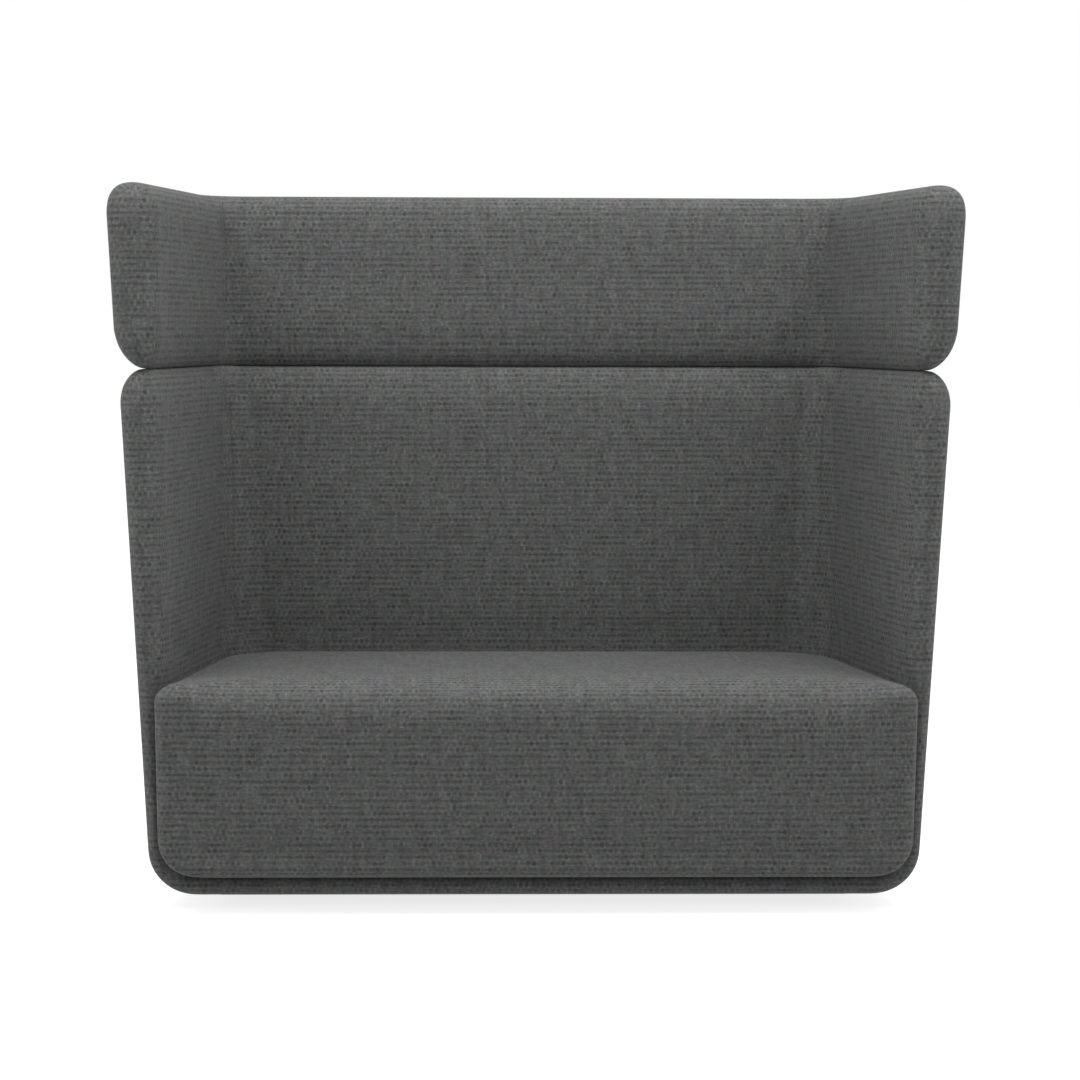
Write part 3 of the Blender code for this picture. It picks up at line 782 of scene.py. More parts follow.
Row = tuple[Zone, float]
Cut = tuple[np.ndarray, np.ndarray, float]


@dataclass(frozen=True)
class Station:
    """One upright cut through a wall."""

    run: Run
    value: float
    side: int


@dataclass(frozen=True)
class WallPlan:
    """Leaning U of arms and back that the shell and the headrest share."""

    inner_half: float = 0.680
    inner_depth: float = 0.466
    inner_lean: float = 0.018
    inner_back_lean: float = 0.0575
    splay: float = 0.1625
    corner_low: float = 0.155
    corner_top: float = 0.060
    arm_thickness: float = 0.0404
    arm_swell: float = 0.0385
    back_thickness: float = 0.071
    back_swell: float = 0.0175
    front_round: float = 0.046
    front_reach: float = 0.0484
    front_end: float = 0.056
    front_y: float = field(default_factory=lambda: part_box("shell_cover")[0].y)

    def line(self, z: float) -> Triple:
        """Inner face at a height.

        Args:
            z: The height.

        Returns:
            The face's half width, depth and corner radius.
        """
        rise = min(max(z, 0.0), 1.0)
        radius = self.corner_low + (self.corner_top - self.corner_low) * rise
        return self.inner_half + self.inner_lean * z, self.inner_depth + self.inner_back_lean * z, radius

    def corner(self, line: Triple) -> Triple:
        """Round corner of the inner face.

        Args:
            line: Half width, depth and corner radius of the face.

        Returns:
            The two coordinates of the round's middle, and the depth at which the arm's straight ends.
        """
        half, depth, radius = line
        centre = depth - radius
        slope = math.hypot(1.0, self.splay)
        return half - self.splay * centre - radius * slope, centre, centre + radius * self.splay / slope

    def trace(self, station: Station, line: Triple) -> np.ndarray:
        """Point in plan where a station meets the inner face.

        Args:
            station: The cut.
            line: Half width, depth and corner radius of the face.

        Returns:
            The point's x, and its depth behind the front of the arms.
        """
        half, depth, radius = line
        centre_x, centre_y, straight_end = self.corner(line)
        if station.run is Run.BACK:
            return np.array([centre_x * station.value * station.side, depth])
        if station.run is Run.TURN:
            angle = self.angle(station.value)
            return np.array([(centre_x + radius * math.cos(angle)) * station.side,
                             centre_y + radius * math.sin(angle)])
        y = station.value
        if station.run is Run.ARM:
            y = self.front_end + (straight_end - self.front_end) * station.value
        return np.array([(half - self.splay * y) * station.side, y])

    def angle(self, share: float) -> float:
        """Angle in plan at a share of the corner's turn."""
        start = math.atan(self.splay)
        return start + (math.pi / 2 - start) * share

    def outward(self, station: Station) -> np.ndarray:
        """Level direction across the wall, away from the seat.

        Args:
            station: The cut.

        Returns:
            The direction in plan.
        """
        if station.run is Run.BACK:
            return np.array([0.0, 1.0])
        if station.run is Run.TURN:
            angle = self.angle(station.value)
            return np.array([math.cos(angle) * station.side, math.sin(angle)])
        return np.array([float(station.side), 0.0])

    def thickness(self, station: Station, z: float) -> float:
        """Thickness of the wall, which eases from the arms' to the back's round the corner.

        Args:
            station: The cut.
            z: Height on the wall.

        Returns:
            The thickness.
        """
        arm = self.arm_thickness + self.arm_swell * z
        back = self.back_thickness + self.back_swell * z
        if station.run is Run.BACK:
            return back
        if station.run is Run.TURN:
            square = arm / math.hypot(1.0, self.splay)
            return square + (back - square) * station.value
        return arm

    def fullness(self, station: Station) -> float:
        """Share of the full thickness, which falls away round the arm's front end.

        Args:
            station: The cut.

        Returns:
            The share, from 0 to 1.
        """
        if station.run is not Run.FRONT:
            return 1.0
        ahead = max(0.0, self.front_round - station.value) / self.front_reach
        return math.sqrt(max(0.0, 1.0 - ahead * ahead))

    def drop(self, station: Station) -> float:
        """How far the rounded front corner lies below the top of the wall.

        Args:
            station: The cut.

        Returns:
            The distance.
        """
        if station.run is not Run.FRONT:
            return 0.0
        ahead = min(max(self.front_end - station.value, 0.0), self.front_end)
        return self.front_end - math.sqrt(self.front_end**2 - ahead**2)


@dataclass
class Cover:
    """A sewn and stuffed cover that takes the place of CAD nodes."""

    plan: WallPlan
    name: str
    body: str
    nodes: tuple[str, ...]
    fill: float = field(default=0.9, kw_only=True)
    stuffing: Stuffing = field(default=Stuffing(), kw_only=True)

    def build(self) -> Piece:
        """Sews the cover, fills it and finishes its mesh."""
        raise NotImplementedError

    def dress(self, cloth: Material) -> Piece:
        """Builds the cover and puts it in place of its nodes.

        Args:
            cloth: The cover's finish.

        Returns:
            The dressed piece.
        """
        piece = self.build()
        piece.data.materials.append(cloth)
        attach(piece, self.body)
        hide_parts(*self.nodes)
        LOG.info("%s: %d faces", piece.name, len(piece.data.polygons))
        return piece


@dataclass
class PaddedWall(Cover):
    """Padded U with rounded edges, as a closed cover over its foam."""

    bottom: float
    top: float
    proud: float = 0.0
    footed: bool = False
    crown: float = 0.060
    low_crown: float = 0.060
    top_flat: float = 0.0
    bottom_flat: float = 0.0
    top_square: float = 1.0
    top_inward: float = 0.0
    bottom_inward: float = 0.0
    corner_pinch: float = 0.0
    foot_radius: float = 0.090
    foot_reach: float = 0.150
    foot_steps: int = 4
    base_thickness: float = 0.050
    arm_length: float = 0.300
    arm_steps: int = 13
    turn_steps: int = 11
    sewn_turn: float = 0.5
    close_turns: tuple[float, ...] = (0.475, 0.525, 0.985)
    back_close: float = 0.991
    back_span: float = 0.96
    back_steps: int = 24
    wall_steps: int = 36
    wall_close: float = 0.005
    round_steps: int = 8
    round_close: float = 4.0
    round_end: float = 89.0
    round_turn: int = 10
    arc_cuts: int = 25
    border_steps: int = 60
    front_facing: float = 0.55
    front_upright: float = 0.6
    seam_margin: float = 0.004
    seam_depth: float = 0.0016
    seam_ease: float = 0.030
    top_ease: Span = (0.010, 0.015)
    low_ease: Span = (0.020, 0.050)
    inner_top_ease: float = 0.010
    rest_ease: Span = (0.010, 0.090)
    front_ease: int = 6
    corner_ease: float = 0.060

    def __post_init__(self) -> None:
        """Lays out the stations and the rows that every section shares, and finds the seams."""
        right, left = self.half_stations(1), self.half_stations(-1)
        middle = Station(Run.BACK, 0.0, 1)
        self.stations = right + [middle] + left[::-1]
        self.last = len(self.stations) - 1
        self.rows = self.section_rows()
        self.quarter = self.arc(self.thick(middle, self.top) / 2, math.pi / 2, self.top_square)
        numbers = {(s.run, s.value): i for i, s in enumerate(right)}
        self.front_edge = numbers[Run.FRONT, self.plan.front_end] - 1
        edges = (self.front_edge, numbers[Run.BACK, 1.0])
        self.sewn_at = [*edges, *(self.last - edge for edge in edges)]
        corner = numbers[Run.TURN, self.sewn_turn]
        self.corners = (corner, self.last - corner) if self.corner_pinch else ()

    def half_stations(self, side: int) -> list[Station]:
        """Stations from one arm's front end to the middle of the back.

        Args:
            side: -1 for the left arm, 1 for the right one.

        Returns:
            The stations, front first, without the middle one.
        """
        plan = self.plan
        angles = [math.radians(a) for a in range(0, 91, self.round_turn)]
        first = 2.0 * self.seam_margin / self.arm_length
        turns = [i / self.turn_steps for i in range(self.turn_steps)]
        values = {
            Run.FRONT: [plan.front_round - plan.front_reach * math.cos(a) for a in angles]
            + [plan.front_end - self.seam_margin, plan.front_end],
            Run.ARM: [first + (1.0 - first) * i / self.arm_steps for i in range(self.arm_steps)],
            Run.TURN: sorted([*turns, self.sewn_turn, *self.close_turns]),
            Run.BACK: [1.0, self.back_close]
            + [self.back_span - self.back_span * i / self.back_steps for i in range(self.back_steps)],
        }
        return [Station(run, value, side) for run, line in values.items() for value in line]

    def section_rows(self) -> list[Row]:
        """Rows of a section from the floor up.

        Returns:
            Each row's zone and its value there: a share on straight lengths, an angle on round ones.
        """
        steps = self.round_steps
        rounds = [0.0, self.round_close] + [90.0 * i / steps for i in range(1, steps + 1)]
        walls = [(Zone.WALL, i / self.wall_steps) for i in range(1, self.wall_steps)]
        walls.append((Zone.WALL, 1.0 - self.wall_close))
        crowns = [(Zone.CROWN, math.radians(a)) for a in rounds]
        if self.footed:
            feet = [(Zone.FLAT, i / self.foot_steps) for i in range(self.foot_steps)]
            feet += [(Zone.ARC, math.radians(a)) for a in range(90, -1, -self.round_turn)]
        else:
            feet = [(Zone.ROLL, math.radians(a)) for a in reversed(rounds)]
            feet.append((Zone.WALL, self.wall_close))
        return feet + walls + crowns

    def thick(self, station: Station, z: float) -> float:
        """Thickness of this wall at a height."""
        return self.plan.thickness(station, z) + self.proud

    def spot(self, station: Station, z: float, aside: float) -> np.ndarray:
        """World point in or on the wall.

        Args:
            station: The cut.
            z: Height of the point.
            aside: How far it lies outside the middle of the wall.

        Returns:
            The point.
        """
        inside = self.plan.trace(station, self.plan.line(z))
        x, y = inside + self.plan.outward(station) * (self.thick(station, z) / 2 + aside)
        return np.array([x, y + self.plan.front_y, z])

    def foot_spot(self, station: Station, run: float, z: float) -> np.ndarray:
        """World point of the foot.

        Args:
            station: The cut.
            run: Distance inwards from the outer face above the foot.
            z: Height of the point.

        Returns:
            The point.
        """
        level = self.bottom + self.foot_radius
        point = self.spot(station, level, self.thick(station, level) / 2 - run)
        point[2] = z
        return point

    def pair(self, station: Station, row: Row) -> Cut:
        """Outer and inner point of a section at a row.

        Args:
            station: The cut.
            row: Zone and value of the row.

        Returns:
            The two points and the cloth's distance below the top of the wall.
        """
        zone, value = row
        if zone in (Zone.FLAT, Zone.ARC):
            return self.foot_pair(station, row)
        drop = self.plan.drop(station)
        high = self.top - drop - self.crown
        low = self.bottom + (self.foot_radius if self.footed else self.low_crown + drop)
        if zone is not Zone.WALL:
            return self.edge_pair(station, row, high if zone is Zone.CROWN else low)
        z = low + (high - low) * value
        reach = self.thick(station, z) / 2
        inner = self.spot(station, z, self.pinch(station, z) - reach)
        return self.spot(station, z, reach), inner, self.fall(z)

    def edge_pair(self, station: Station, row: Row, start: float) -> Cut:
        """Outer and inner point on a rounded upper or lower edge.

        Args:
            station: The cut.
            row: Zone and angle of the row.
            start: Height at which the round starts.

        Returns:
            The two points and the cloth's distance below the top of the wall.
        """
        up, angle = row[0] is Zone.CROWN, row[1]
        square = self.top_square if up else 1.0
        tall = self.crown + self.top_flat if up else self.low_crown + self.bottom_flat
        rise = tall * math.sin(angle) ** square
        z = min(start + rise, self.top) if up else max(start - rise, self.bottom)
        level = math.cos(angle) ** square
        half = self.thick(station, z) / 2
        reach = half * level
        inward = (self.top_inward if up else self.bottom_inward) * (1.0 - math.cos(angle))
        gone = self.arc(half * self.plan.fullness(station), angle, square)
        outer = self.spot(station, z, reach - inward)
        inner = self.spot(station, z, self.pinch(station, z) * level - reach - inward)
        return outer, inner, self.fall(start) - gone if up else self.fall(start) + gone

    def foot_pair(self, station: Station, row: Row) -> Cut:
        """Outer and inner point of the foot.

        Args:
            station: The cut.
            row: Zone and value of the row.

        Returns:
            The two points and the cloth's distance below the top of the wall.
        """
        zone, value = row
        radius = self.foot_radius
        middle = self.bottom + radius
        if zone is Zone.FLAT:
            run = self.foot_reach + (radius - self.foot_reach) * value
            cloth = self.fall(middle) + radius * math.pi / 2 + run - radius
            inner = self.foot_spot(station, run, self.bottom + self.base_thickness)
            return self.foot_spot(station, run, self.bottom), inner, cloth
        across, down = math.cos(value), math.sin(value)
        wide = radius - self.thick(station, middle)
        tall = radius - self.base_thickness
        outer = self.foot_spot(station, radius - radius * across, middle - radius * down)
        inner = self.foot_spot(station, radius - wide * across, middle - tall * down)
        return outer, inner, self.fall(middle) + radius * value

    def pinch(self, station: Station, z: float) -> float:
        """How far the inner face is drawn out into its corner, where two panels are sewn together.

        Args:
            station: The cut.
            z: Height on the wall.

        Returns:
            The distance, in metres.
        """
        if station.run is not Run.TURN:
            return 0.0
        turn = (math.pi / 2 - math.atan(self.plan.splay)) / 2 * (1.0 - abs(2.0 * station.value - 1.0))
        return self.corner_pinch * self.plan.line(z)[2] * (1.0 / math.cos(turn) - 1.0)

    def arc(self, wide: float, angle: float, square: float) -> float:
        """Length of cloth round an edge, from its start up to an angle.

        Args:
            wide: Half the thickness of the wall.
            angle: Angle reached on the round.
            square: Power that makes the round fuller than an ellipse.

        Returns:
            The length, in metres.
        """
        angles = np.linspace(0.0, angle, self.arc_cuts)
        across = wide * np.clip(np.cos(angles), 0.0, 1.0) ** square
        return float(np.hypot(np.diff(across), np.diff(self.crown * np.sin(angles) ** square)).sum())

    def fall(self, z: float) -> float:
        """Cloth's distance from the top of the wall to a height on its face."""
        return self.quarter + self.top - self.crown - z

    def section(self, station: Station) -> tuple[np.ndarray, np.ndarray, np.ndarray]:
        """Outer points, inner points and cloth distances of one section.

        Args:
            station: The cut.

        Returns:
            Two arrays of points, lowest first, and the rows' distances below the top.
        """
        pairs = [self.pair(station, row) for row in self.rows]
        outer, inner, falls = (np.array(part) for part in zip(*pairs))
        middle = (outer + inner) / 2
        full = self.plan.fullness(station)
        return middle + (outer - middle) * full, middle + (inner - middle) * full, falls

    def build(self) -> Piece:
        """Sews the cover, fills it and finishes its mesh.

        Returns:
            The finished piece.
        """
        grids = [np.array(part) for part in zip(*(self.section(s) for s in self.stations))]
        falls = grids.pop()
        runs = [lengths(grid, self.last // 2) for grid in grids]
        sewn = Patchwork()
        outer = self.lay(sewn, grids[0], None)
        inner = self.lay(sewn, grids[1], outer)
        for numbers, run, sign in ((outer, runs[0], -1.0), (inner, runs[1], 1.0)):
            for i in range(self.last):
                for k in range(len(self.rows) - 1):
                    corners = [(i, k), (i + 1, k), (i + 1, k + 1), (i, k + 1)]
                    spots = [numbers[c] for c in corners]
                    low = self.rows[k][0] in (Zone.FLAT, Zone.ARC)
                    if self.fronted(i) and (low or self.faces_front(sewn, spots)):
                        cloth = self.front_cloth(sewn, spots)
                    else:
                        cloth = [(run[c], sign * falls[c]) for c in corners]
                    sewn.face(spots, cloth)
        if self.footed:
            self.close_foot(sewn, outer, inner)
        piece = sewn.piece(self.name)
        self.stuffing.fill(piece, self.looseness(len(sewn.points), (outer, inner), grids, runs[0]))
        sink(piece.data, self.seams(len(sewn.points), outer, inner), self.seam_depth)
        refine(piece)
        return piece

    def fronted(self, index: int) -> bool:
        """Whether the strip after a station lies in the rounded front end of an arm."""
        return all(s.run is Run.FRONT for s in self.stations[index:index + 2])

    def lay(self, sewn: Patchwork, grid: np.ndarray, facing: np.ndarray | None) -> np.ndarray:
        """Numbers the points of one face, sharing those where the two faces meet.

        Args:
            sewn: The cover.
            grid: Points by station and row.
            facing: Numbers of the other face's points, if it is laid already.

        Returns:
            The points' numbers by station and row.
        """
        numbers = np.zeros(grid.shape[:2], int)
        rounds = (Zone.CROWN, Zone.ROLL)
        end = math.radians(self.round_end)
        edges = [zone in rounds and value > end for zone, value in self.rows]
        for i in range(grid.shape[0]):
            for k, edge in enumerate(edges):
                if facing is not None and (edge or i in (0, self.last)):
                    numbers[i, k] = facing[i, k]
                else:
                    numbers[i, k] = sewn.point(grid[i, k])
        return numbers

    def faces_front(self, sewn: Patchwork, spots: list[int]) -> bool:
        """Whether a face looks forwards rather than aside or up.

        Args:
            sewn: The cover.
            spots: Numbers of the face's points.

        Returns:
            True where the face looks forwards.
        """
        a, b, c, d = (sewn.points[i] for i in spots)
        normal = np.cross(c - a, d - b)
        return bool(abs(normal[1]) > self.front_facing * np.linalg.norm(normal))

    def front_cloth(self, sewn: Patchwork, spots: list[int]) -> list[Span]:
        """Cloth positions of a face at the front, cut straight across the sofa.

        Args:
            sewn: The cover.
            spots: Numbers of the face's points.

        Returns:
            One cloth position for each point.
        """
        points = np.array([sewn.points[i] for i in spots])
        spans = points.max(axis=0) - points.min(axis=0)
        if spans[2] > self.front_upright * spans[1]:
            return [(p[0], -self.fall(p[2])) for p in points]
        return [(p[0], -self.fall(self.bottom) - p[1] + self.plan.front_y) for p in points]

    def close_foot(self, sewn: Patchwork, outer: np.ndarray, inner: np.ndarray) -> None:
        """Joins the feet of the arms by the front border and closes the foot elsewhere.

        Args:
            sewn: The cover.
            outer: Numbers of the outer face's points.
            inner: Numbers of the inner face's points.
        """
        fronts = sum(1 for s in self.stations if s.run is Run.FRONT) // 2
        for i in range(fronts - 1, self.last - fronts + 1):
            spots = [outer[i, 0], outer[i + 1, 0], inner[i + 1, 0], inner[i, 0]]
            sewn.face(spots, self.front_cloth(sewn, spots))
        strips = []
        for numbers in (outer, inner):
            for i in range(fronts):
                ends = numbers[i, 0], numbers[self.last - i, 0]
                if i == 0 and numbers is inner:
                    strips.append(strips[0])
                    continue
                a, b = sewn.points[ends[0]], sewn.points[ends[1]]
                shares = [c / self.border_steps for c in range(1, self.border_steps)]
                strips.append([ends[0], *(sewn.point(a + (b - a) * share) for share in shares), ends[1]])
        loop = strips[fronts - 1::-1] + strips[fronts + 1:]
        for near, far in zip(loop, loop[1:] + loop[:1]):
            for c in range(self.border_steps):
                spots = [near[c], near[c + 1], far[c + 1], far[c]]
                sewn.face(spots, self.front_cloth(sewn, spots))

    def looseness(self, count: int, faces: tuple[np.ndarray, np.ndarray], grids: list[np.ndarray],
                  run: np.ndarray) -> np.ndarray:
        """How far the cover may swell: not at its seams, its edges, its front ends or where it rests.

        Args:
            count: Number of points in the cover.
            faces: Numbers of the outer and the inner face's points.
            grids: Points of the two faces.
            run: Cloth distance along the outer face, from the middle of the back.

        Returns:
            How free each point is, from 0 to 1.
        """
        free = np.zeros(count)
        outer, inner = faces
        high = self.top - self.crown
        low = self.bottom + (self.foot_radius if self.footed else self.low_crown)
        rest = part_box("seat_cover")[1].z if self.footed else self.bottom
        for i, station in enumerate(self.stations):
            tip = 0.0 if station.run is Run.FRONT else 1.0
            inside = math.prod(ease(n, self.front_edge, self.front_edge + self.front_ease)
                               for n in (i, self.last - i))
            for k in range(len(self.rows)):
                z = grids[0][i, k][2]
                level = ease(z, low - self.low_ease[0], low + self.low_ease[1])
                level *= 1.0 - ease(z, high - self.top_ease[0], self.top - self.top_ease[1])
                near = min(abs(run[i, k] - run[s, k]) for s in self.sewn_at)
                free[outer[i, k]] = (tip * level * ease(near, 0.0, self.seam_ease)
                                     * ease(high - z, 0.0, self.seam_ease))
                if inner[i, k] == outer[i, k]:
                    continue
                z = grids[1][i, k][2]
                level = 1.0 - ease(z, high, self.top - self.inner_top_ease)
                level *= ease(z, rest + self.rest_ease[0], rest + self.rest_ease[1])
                near = min((abs(run[i, k] - run[c, k]) for c in self.corners), default=self.corner_ease)
                free[inner[i, k]] = inside * level * ease(near, 0.0, self.corner_ease)
        return free

    def seams(self, count: int, outer: np.ndarray, inner: np.ndarray) -> np.ndarray:
        """Where the cover is sewn.

        Args:
            count: Number of points in the cover.
            outer: Numbers of the outer face's points.
            inner: Numbers of the inner face's points.

        Returns:
            Share of the seam's depth at each point.
        """
        zones = [zone for zone, _ in self.rows]
        top = zones.index(Zone.CROWN)
        low = zones.index(Zone.ARC) if self.footed else zones.index(Zone.WALL) - 1
        sewn = np.zeros(count)
        for row in (top,) if self.footed else (low, top):
            sewn[outer[self.front_edge:self.last - self.front_edge + 1, row]] = 1.0
        sewn[outer[self.sewn_at, low:top + 1]] = 1.0
        for corner in self.corners:
            sewn[inner[corner, low:top + 1]] = 1.0
        return sewn


@dataclass
class Shell(PaddedWall):
    """The wall that stands on the floor, with slots for the headrest's posts and holes for glides."""

    sleeve_thickness: float = 0.0108
    sleeve_lean: float = 0.06625
    gap: float = 0.0004
    hole_depth: float = 0.020
    hole_sides: int = 32

    def build(self) -> Piece:
        """Sews and fills the cover, then opens it for the posts and the glides.

        Returns:
            The finished piece.
        """
        piece = super().build()
        sides = ("left", "right")
        tools = [self.slot_tool(side) for side in sides]
        tools += [self.hole_tool(f"{end}_{side}") for end in ("front", "rear") for side in sides]
        deselect()
        for tool in tools:
            tool.select_set(True)
        bpy.context.view_layer.objects.active = tools[0]
        bpy.ops.object.join()
        step = piece.modifiers.new("openings", "BOOLEAN")
        step.operation = "DIFFERENCE"
        step.solver = "EXACT"
        step.object = tools[0]
        apply(piece, step)
        bpy.data.objects.remove(tools[0], do_unlink=True)
        return piece

    def slot_tool(self, side: str) -> Piece:
        """Block that cuts the slot over one sleeve.

        Args:
            side: "left" or "right".

        Returns:
            The block, leaning as the sleeve does.
        """
        low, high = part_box(f"{side}_sleeve")
        deselect()
        bpy.ops.mesh.primitive_cube_add(size=1.0, location=(low + high) / 2,
                                        rotation=(-math.atan(self.sleeve_lean), 0.0, 0.0))
        tool = bpy.context.active_object
        tool.scale = (high.x - low.x + 2 * self.gap, self.sleeve_thickness + 2 * self.gap,
                      high.z - low.z + 2 * self.hole_depth)
        return tool

    def hole_tool(self, corner: str) -> Piece:
        """Rod that cuts the hole for one glide's bolt.

        Args:
            corner: Which glide, as in "front_left".

        Returns:
            The upright rod.
        """
        low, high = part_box(f"{corner}_bolt")
        deselect()
        bpy.ops.mesh.primitive_cylinder_add(
            vertices=self.hole_sides, radius=(high.x - low.x) / 2 + self.gap, depth=2 * self.hole_depth,
            location=((low.x + high.x) / 2, (low.y + high.y) / 2, self.bottom))
        return bpy.context.active_object


@dataclass
class SeatBlock(Cover):
    """Foam seat block with a crowned top that rolls over its front edge."""

    name: str = "seat_cover_padded"
    body: str = "sofa"
    nodes: tuple[str, ...] = ("seat_cover", "seat_padding")
    fill: float = 0.85
    stuffing: Stuffing = Stuffing(cap=0.007, start_inset=0.003)
    cloth_thickness: float = 0.0006
    edge_top: float = 0.426
    crown: float = 0.005
    crown_powers: tuple[int, int] = (6, 4)
    overhang: float = 0.070
    clearance: float = 0.002
    foot_radius: float = 0.070
    heel_radius: float = 0.045
    edge_radius: float = 0.020
    flare: float = 0.006
    flare_end: float = 0.020
    front_radius: float = 0.032
    side_radius: float = 0.034
    rear_radius: float = 0.020
    underlap: float = 0.020
    foot_level: float = 0.110
    front_steps: int = 76
    side_steps: int = 24
    corner_half: int = 4
    rear_half: int = 5
    foot_steps: int = 9
    wall_steps: int = 18
    top_steps: int = 8
    side_ease: Span = (0.012, 0.100)
    front_ease: Span = (0.020, 0.050)
    rear_ease: Span = (0.400, 0.470)
    low_ease: Span = (0.010, 0.080)
    top_ease: float = 0.020

    def __post_init__(self) -> None:
        """Lays the underside of the cover just below the seat's rails."""
        self.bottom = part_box("seat_cover")[0].z - self.cloth_thickness

    def outline(self, z: float, side: float, front: float, rear: float) -> np.ndarray:
        """Outline of the block in plan at a height, from the middle of the left front corner.

        Args:
            z: Height of the outline.
            side: How far the sides stand in.
            front: How far the front stands in.
            rear: How far the rear stands in.

        Returns:
            World points, counter-clockwise.
        """
        half, depth, radius = self.plan.line(max(z, self.foot_level))
        line = (half - self.clearance - side, depth - self.clearance - rear, radius)
        low, turn, splay = front - self.overhang, self.edge_radius, self.plan.splay
        corner = line[0] - splay * (low + turn) - turn + self.flare
        straight = self.plan.corner(line)[2]
        middle = self.front_steps // 2
        ring = [(corner * i / middle, low) for i in range(middle + 1)]
        bends = 2 * self.corner_half
        for i in range(1, bends + 1):
            angle = math.pi / 2 * (i / bends - 1.0)
            ring.append((corner + turn * math.cos(angle), low + turn + turn * math.sin(angle)))
        for i in range(1, self.side_steps + 1):
            y = low + turn + (straight - low - turn) * i / self.side_steps
            flare = self.flare * (1.0 - ease(y, -self.flare_end, self.flare_end))
            ring.append((line[0] - splay * y + flare, y))
        turns = 2 * self.rear_half
        for i in range(1, turns + 1):
            ring.append(tuple(self.plan.trace(Station(Run.TURN, i / turns, 1), line)))
        rear_steps = self.front_steps + bends - turns
        x, y = ring[-1]
        ring += [(x * (1.0 - 2.0 * i / rear_steps), y) for i in range(1, rear_steps // 2 + 1)]
        ring += [(-x, y) for x, y in ring[-2:0:-1]]
        shift = middle + self.corner_half
        return np.array([[x, y + self.plan.front_y, z] for x, y in ring[-shift:] + ring[:-shift]])

    def levels(self) -> tuple[list[np.ndarray], list[float]]:
        """Outlines from the underside to the edge of the top, with the cloth's height at each.

        Returns:
            The outlines, lowest first, and their cloth heights.
        """
        low = self.bottom
        rings, heights = [], []
        for i in range(self.foot_steps + 1):
            angle = math.pi / 2 * i / self.foot_steps
            away = 1.0 - math.sin(angle)
            z = low + self.foot_radius * (1.0 - math.cos(angle))
            edge = max(0.0, self.edge_radius - (z - low))
            rounded = self.edge_radius - math.sqrt(self.edge_radius**2 - edge**2)
            rings.append(self.outline(z, self.foot_radius * away, rounded, self.heel_radius * away))
            heights.append(z - rounded)
        straight = self.edge_top - self.front_radius
        for i in range(1, self.wall_steps):
            z = low + self.foot_radius + (straight - low - self.foot_radius) * i / self.wall_steps
            rings.append(self.outline(z, 0.0, 0.0, 0.0))
            heights.append(z)
        for i in range(self.top_steps + 1):
            angle = math.pi / 2 * i / self.top_steps
            z = straight + self.front_radius * math.sin(angle)
            away = 1.0 - math.cos(angle)
            rings.append(self.outline(z, self.side_radius * away, self.front_radius * away,
                                      self.rear_radius * away))
            heights.append(straight + self.front_radius * angle)
        return rings, heights

    def patch(self, ring: np.ndarray) -> np.ndarray:
        """Fills an outline with an even grid of points.

        Args:
            ring: Points of the outline, from its left front corner.

        Returns:
            Points by step across and step back.
        """
        wide = self.front_steps + 2 * self.corner_half
        deep = self.corner_half + self.side_steps + self.rear_half
        closed = np.vstack([ring, ring[:1]])
        front = closed[:wide + 1]
        right = closed[wide:wide + deep + 1]
        rear = closed[wide + deep:2 * wide + deep + 1][::-1]
        left = closed[2 * wide + deep:][::-1]
        grid = np.zeros((wide + 1, deep + 1, 3))
        for i in range(wide + 1):
            for j in range(deep + 1):
                u, v = i / wide, j / deep
                edges = front[i] * (1 - v) + rear[i] * v + left[j] * (1 - u) + right[j] * u
                corners = ((1 - u) * (1 - v) * front[0] + u * (1 - v) * front[-1]
                           + (1 - u) * v * rear[0] + u * v * rear[-1])
                grid[i, j] = edges - corners
        return grid

    def build(self) -> Piece:
        """Sews the cover, fills it and finishes its mesh.

        Returns:
            The finished piece.
        """
        rings, heights = self.levels()
        sewn = Patchwork()
        numbers = [[sewn.point(p) for p in ring] for ring in rings]
        count = len(rings[0])
        middle = self.front_steps // 2 + self.corner_half
        runs = [lengths(np.vstack([ring, ring[:1]]), middle) for ring in rings]
        for k in range(len(rings) - 1):
            for i in range(count):
                corners = [(k, i), (k, i + 1), (k + 1, i + 1), (k + 1, i)]
                sewn.face([numbers[row][n % count] for row, n in corners],
                          [(runs[row][n], heights[row]) for row, n in corners])
        under = self.outline(self.bottom, self.foot_radius + self.underlap, self.underlap,
                             self.heel_radius + self.underlap)
        self.fill_in(sewn, numbers[0], self.patch(under), rings[0], 0.0, 0.0)
        self.fill_in(sewn, numbers[-1], self.patch(rings[-1]), rings[-1], self.crown, heights[-1])
        piece = sewn.piece(self.name)
        self.stuffing.fill(piece, self.looseness(np.array(sewn.points)))
        refine(piece)
        return piece

